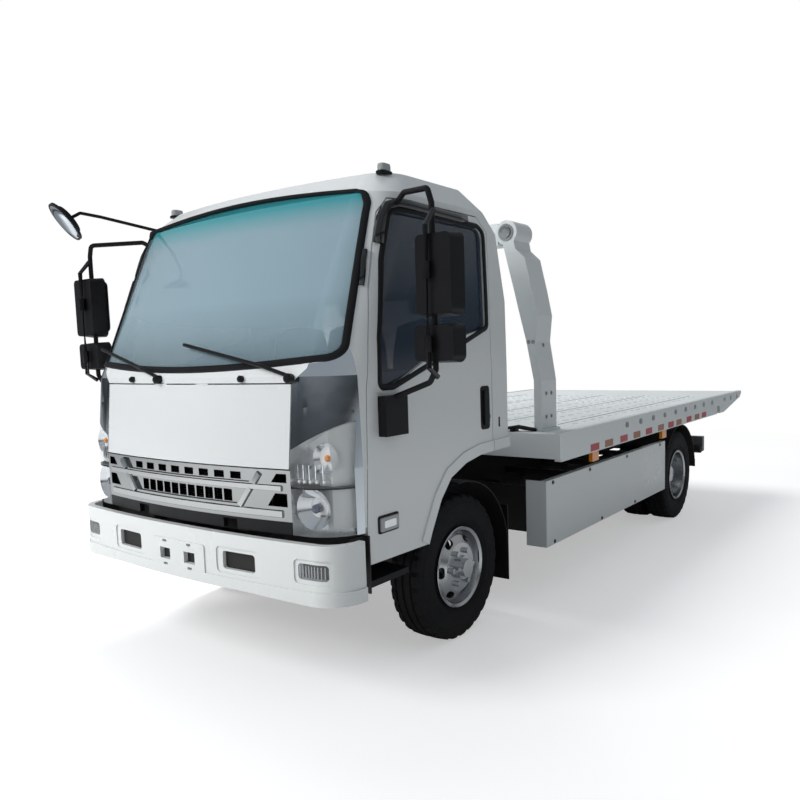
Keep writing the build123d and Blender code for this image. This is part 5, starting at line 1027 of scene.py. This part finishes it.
print("mirror glass: 4, tail lenses:", len(tail_red) + len(tail_clear))

# %% [markdown]
# ## Tyres with tread
# A tyre is one profile turned round the axle. Round the tread the profile steps in and
# out: three grooves run round it, and cuts cross the ribs at every fourth step. Real
# relief is worth its faces here, since the tread's edge shows against the white.


# %% Tyre tread and sidewalls
TYRE_STEPS = 120
CUT_EVERY = 4
TYRE_WIDTH = 0.2
TREAD_PROFILE = [
    # share of the half width, radius, radius where a cut crosses
    (-0.74, 0.2055, 0.2055),
    (-0.80, 0.225, 0.225),
    (-0.985, 0.262, 0.262),
    (-1.00, 0.305, 0.305),
    (-0.985, 0.340, 0.340),
    (-0.965, 0.343, 0.338),
    (-0.90, 0.372, 0.364),
    (-0.80, 0.3835, 0.373),
    (-0.52, 0.3862, 0.376),
    (-0.48, 0.377, 0.377),
    (-0.42, 0.377, 0.377),
    (-0.38, 0.387, 0.3862),
    (-0.08, 0.3875, 0.3862),
    (-0.05, 0.378, 0.378),
]


def tread_mesh(centre, width):
    """Turned tyre surface round the wheel's axle, closed at the bead."""
    half = width / 2
    rows = TREAD_PROFILE + [(-share, radius, cut) for share, radius, cut in reversed(TREAD_PROFILE)]
    verts = []
    for step in range(TYRE_STEPS):
        angle = 2 * math.pi * step / TYRE_STEPS
        for share, radius, cut in rows:
            lag = 1 if share > 0 else 0
            reach = cut if (step + lag) % CUT_EVERY == 0 else radius
            spot = (reach * math.sin(angle), share * half, reach * math.cos(angle))
            verts.append(centre + Vector(spot))
    faces = []
    count = len(rows)
    for step in range(TYRE_STEPS):
        a = step * count
        b = (step + 1) % TYRE_STEPS * count
        for row in range(count):
            after = (row + 1) % count
            faces.append((a + row, b + row, b + after, a + after))
    return verts, faces


TYRES = {
    "tyre_front_left": "wheel_front_left",
    "tyre_front_right": "wheel_front_right",
    "tyres_rear_left": "wheel_rear_left",
    "tyres_rear_right": "wheel_rear_right",
}
for node_name, body in TYRES.items():
    low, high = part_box(node_name)
    middle = (low + high) / 2
    twin = high.y - low.y > 2 * TYRE_WIDTH
    spots = [low.y + TYRE_WIDTH / 2, high.y - TYRE_WIDTH / 2] if twin else [middle.y]
    parts = [tread_mesh(Vector((middle.x, y, middle.z)), TYRE_WIDTH) for y in spots]
    tread = join_parts(node_name + "_tread", parts, RUBBER, body)
    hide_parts(node_name)
print("tyres:", len(TYRES))

# %% [markdown]
# ## Inside the cab
# Through the glass one sees padded seats with headrests, the dashboard's top, a hooded
# instrument panel and a mirror on the windscreen. A cushion is a cube cut into a fine
# grid and swelled by a formula, which is steadier than simulating cloth behind glass.


# %% Cushions and cabin details
ROUND_OFF = 0.16
SWELL = 0.12


def cushion(low, high, swell, steps=10):
    """Stuffed pad in a box: flat sides that swell towards the middle."""
    pad = bmesh.new()
    bmesh.ops.create_cube(pad, size=2.0)
    bmesh.ops.subdivide_edges(pad, edges=pad.edges, cuts=steps - 1, use_grid_fill=True)
    size = (high - low) / 2
    middle = (high + low) / 2
    for vert in pad.verts:
        unit = vert.co.copy()
        x2, y2, z2 = (c ** 2 for c in unit)
        square = sum(d * d for d in unit)
        soft = Vector([c * math.sqrt(max(0.0, 1 - ROUND_OFF * (square - c * c))) for c in unit])
        fullness = 1 - swell * (x2 * y2 + y2 * z2 + x2 * z2) / 3
        vert.co = middle + Vector([soft[k] * size[k] * fullness for k in range(3)])
    return pad


SEAT_PLACES = {
    # right and left edge, in y
    "driver": (0.285, 0.755),
    "middle": (-0.255, 0.195),
    "passenger": (-0.735, -0.285),
}
SEAT_PARTS = [
    # rear x, front x, low z, high z, share of the width
    (1.60, 2.165, 1.07, 1.215, 1.0),
    (1.495, 1.655, 1.16, 1.72, 0.98),
    (1.50, 1.60, 1.745, 1.925, 0.58),
]
SEAT_LOW, SEAT_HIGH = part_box("seats")
plinths = []
stalks = []
for seat_name, (right_y, left_y) in SEAT_PLACES.items():
    seat = bmesh.new()
    middle_y = (right_y + left_y) / 2
    for rear_x, front_x, low_z, high_z, share in SEAT_PARTS:
        reach = (left_y - right_y) / 2 * share
        low = Vector((rear_x, middle_y - reach, low_z))
        pad = cushion(low, Vector((front_x, middle_y + reach, high_z)), SWELL)
        part_mesh = bpy.data.meshes.new("pad")
        pad.to_mesh(part_mesh)
        pad.free()
        seat.from_mesh(part_mesh)
    seat_piece = piece_from(seat, "seat_" + seat_name, CLOTH, "cab", True)
    if seat_name == "driver":
        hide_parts("seats")
    low = (SEAT_LOW.x + 0.06, right_y, SEAT_LOW.z)
    plinths.append(block(low, (SEAT_HIGH.x - 0.08, left_y, 1.085)))
    for shift in (-0.05, 0.05):
        stalks.append(disc(Vector((1.55, middle_y + shift, 1.70)), Z_WAY, 0.006, 0.06, 8))
join_parts("seat_plinths", plinths, BLACK, "cab")
join_parts("headrest_stalks", stalks, STEEL, "cab")
DASH_LOW, DASH_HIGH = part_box("dashboard")
hood_place = Vector((DASH_LOW.x + 0.10, 0.48, DASH_HIGH.z - 0.004))
hood = pill(hood_place, Z_WAY, X_WAY, 0.34, 0.16, 0.05, 0.7)
join_parts("instrument_hood", [hood], BLACK, "cab")
vents = []
for y in (-0.78, -0.12, 0.14, 0.80):
    place = Vector((DASH_LOW.x + 0.02, y, 1.36))
    vents.append(pill(place, -X_WAY, Z_WAY, 0.11, 0.06, 0.006, 0.5))
join_parts("dash_vents", vents, BLACK, "cab")
mirror = pill(Vector((2.50, 0.0, 2.10)), -X_WAY, Z_WAY, 0.24, 0.065, 0.02, 0.6)
join_parts("cab_mirror", [mirror], BLACK, "cab")
visors = [block((2.33, y - 0.22, 2.172), (2.45, y + 0.22, 2.184)) for y in (-0.42, 0.42)]
join_parts("sun_visors", visors, CABIN_GREY, "cab")
print("seats:", len(SEAT_PLACES))

# %% [markdown]
# ## Posts, pipes and bed lamps
# The pins at the post tops, the pipes along the deck's front edge and the side lamps of
# the bed are few, so they are set one by one. A pipe is a ring of points carried along
# a line, turned at each point to where the line goes.


# %% Pins, pipes and bed lamps
def tube(points, radius, sides=8):
    """Round pipe along points."""
    verts = []
    for index, point in enumerate(points):
        before = points[max(index - 1, 0)]
        after = points[min(index + 1, len(points) - 1)]
        turn = (after - before).to_track_quat("Z", "Y").to_matrix()
        verts += circle(point, turn, radius, 0, sides)
    return verts, ring_faces(len(points) - 1, sides)


POST_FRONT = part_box("posts")[1].x
pins = []
for side in (1, -1):
    centre = Vector((POST_FRONT, side * 0.815, 2.226))
    pins.append(disc(centre, X_WAY, 0.05, 0.006, 24, 0.0))
    pins.append(disc(centre + X_WAY * 0.006, X_WAY, 0.034, 0.010, 24, 0.004))
join_parts("post_pins", pins, STEEL, "deck")
PIPE_RADIUS = 0.009
pipes = []
for offset, z in ((0.0, 1.052), (0.022, 1.055), (0.045, 1.050)):
    run = [
        Vector((1.205 - offset, 0.62, DECK_Z + 0.010)),
        Vector((1.205 - offset, 0.80, DECK_Z + 0.014)),
        Vector((1.200 - offset, 0.90, z + 0.012)),
        Vector((1.190 - offset, 0.97, z)),
        Vector((1.150 - offset, 1.00, DECK_Z + 0.010)),
    ]
    pipes.append(tube(run, PIPE_RADIUS))
for y in (0.70, 0.86):
    pipes.append(block((1.14, y, DECK_Z - 0.001), (1.22, y + 0.018, DECK_Z + 0.032)))
join_parts("deck_pipes", pipes, BLACK, "deck", True)
LAMP_Y = 1.165
lamps = []
feet = []
for side in (1, -1):
    for x in (0.68, -0.66):
        y = side * LAMP_Y
        lamps.append(block((x - 0.05, y - 0.012, 0.806), (x + 0.05, y + 0.012, 0.868)))
        feet.append(block((x - 0.02, y - 0.004, 0.86), (x + 0.02, y + 0.004, 0.90)))
join_parts("bed_lamps", lamps, AMBER, "deck")
join_parts("bed_lamp_feet", feet, CHASSIS, "deck")
print("pins:", len(pins), "bed lamps:", len(lamps))

# %% [markdown]
# ## Behind the bumper
# A bumper's openings look dark because little light comes back out of them. Thin dark
# plates close each opening a short way behind the skin, and flat sheets behind them
# stand for the shroud of the radiator. Two rays give each plate its tilt.

# %% Dark backs of the bumper's openings
BUMPER_SKIN = tree_of("front_bumper", "fog_lamps")
BACK_DEPTH = 0.03
OPENINGS = [
    # middle y, middle z, width, height: tow openings, then the plate's two windows
    (0.425, 0.603, 0.24, 0.11),
    (-0.425, 0.603, 0.24, 0.11),
    (0.095, 0.580, 0.10, 0.07),
    (-0.095, 0.580, 0.10, 0.07),
]
backs = []
for y, z, width, height in OPENINGS:
    ends = []
    for step in (-1, 1):
        start = Vector((6, y + step * (width / 2 + 0.03), z))
        ends.append(BUMPER_SKIN.ray_cast(start, -X_WAY)[0])
    middle = (ends[0] + ends[1]) / 2
    facing = (ends[1] - ends[0]).cross(Z_WAY).normalized()
    if facing.x < 0:
        facing = -facing
    place = Vector((middle.x, y, z)) - facing * BACK_DEPTH
    backs.append(pill(place, facing, Z_WAY, width, height, 0.006, 0.1))
join_parts("bumper_backs", backs, CHASSIS, "chassis")
shroud = [
    block((2.700, -0.29, 0.475), (2.708, 0.29, 0.735)),
    block((2.700, 0.41, 0.475), (2.708, 0.985, 0.735)),
    block((2.700, -0.985, 0.475), (2.708, -0.41, 0.735)),
    block((2.708, 0.955, 0.61), (2.80, 0.963, 0.735)),
    block((2.708, -0.963, 0.61), (2.80, -0.955, 0.735)),
]
join_parts("bumper_shroud", shroud, CHASSIS, "chassis")
print("bumper backs:", len(backs), "shroud sheets:", len(shroud))

# %% [markdown]
# ## Mirror poles
# Each door mirror's heads are clamped to a round pole that stands before them, with its
# ends bent back to the arms. It is a short pipe with two collars where the heads clamp.

# %% Mirror poles in front of the heads
POLE_RADIUS = 0.0125
POLE_LINE = ((2.13, 0.062), (2.06, 0.0), (1.46, 0.0), (1.42, 0.062))
for (side, side_name), pole_x in zip(SIDES, (2.540, 2.690)):
    y = side * 1.215
    line = [Vector((pole_x - back, y, z)) for z, back in POLE_LINE]
    parts = [tube(line, POLE_RADIUS, 12)]
    parts += [disc(Vector((pole_x, y, z)), Z_WAY, 0.018, 0.07, 14) for z in (1.84, 1.53)]
    join_parts("mirror_pole_" + side_name, parts, GLOSS_BLACK, "door_" + side_name)
print("mirror poles: 2")

# %% [markdown]
# ## Second finishes on one solid
# The wide-view mirror is part of the cab's solid, and the skirts' brackets are part of
# the skirts, yet both are dark on a white part. A face can wear another finish of its
# object, so faces near the mirror and its tubes, and faces inside the skirts, take the
# second slot and the solids stay as they are.

# %% Dark finish and glass of the wide-view mirror, and dark skirt brackets
VIEW_SPOT = Vector((2.855, -1.040, 2.320))
VIEW_AIM = Vector((0.75, -0.25, -0.62)).normalized()
VIEW_BENDS = [(2.837, -1.034, 2.336), (2.795, -0.985, 2.368), (2.705, -0.930, 2.350)]
VIEW_TUBES = [VIEW_BENDS + [(2.305, -0.780, 2.270)], VIEW_BENDS + [(2.425, -0.800, 2.020)]]
HEAD_REACH = 0.135
TUBE_REACH = 0.0125
TUBE_LEFT_END = -0.78
SKIRT_INSIDE = 0.98


def on_tube(point):
    """True where a point lies on one of the two tubes."""
    for line in VIEW_TUBES:
        for start, end in zip(line, line[1:]):
            start = Vector(start)
            span = Vector(end) - start
            share = min(1.0, max(0.0, (point - start).dot(span) / span.length_squared))
            if (point - start - span * share).length < TUBE_REACH:
                return True
    return False


def on_mirror(point):
    """True where a point of the cab belongs to the mirror or its tubes."""
    at_head = (point - VIEW_SPOT).length < HEAD_REACH
    return at_head or (point.y < TUBE_LEFT_END and on_tube(point))


skirts = nodes["side_skirts"].data
skirts.materials.append(CHASSIS)
for face in skirts.polygons:
    if abs(face.center.y) < SKIRT_INSIDE:
        face.material_index = 1
shell = nodes["cab_shell"].data
shell.materials.append(BLACK)
near = [on_mirror(vert.co) for vert in shell.vertices]
dark_faces = 0
for face in shell.polygons:
    if all(near[index] for index in face.vertices):
        face.material_index = 1
        dark_faces += 1
glass = disc(VIEW_SPOT + VIEW_AIM * 0.0075, VIEW_AIM, 0.106, 0.002, 32, 0.010)
join_parts("view_mirror_glass", [glass], DARK_CHROME, "cab", True)
print("dark faces of the wide-view mirror:", dark_faces)
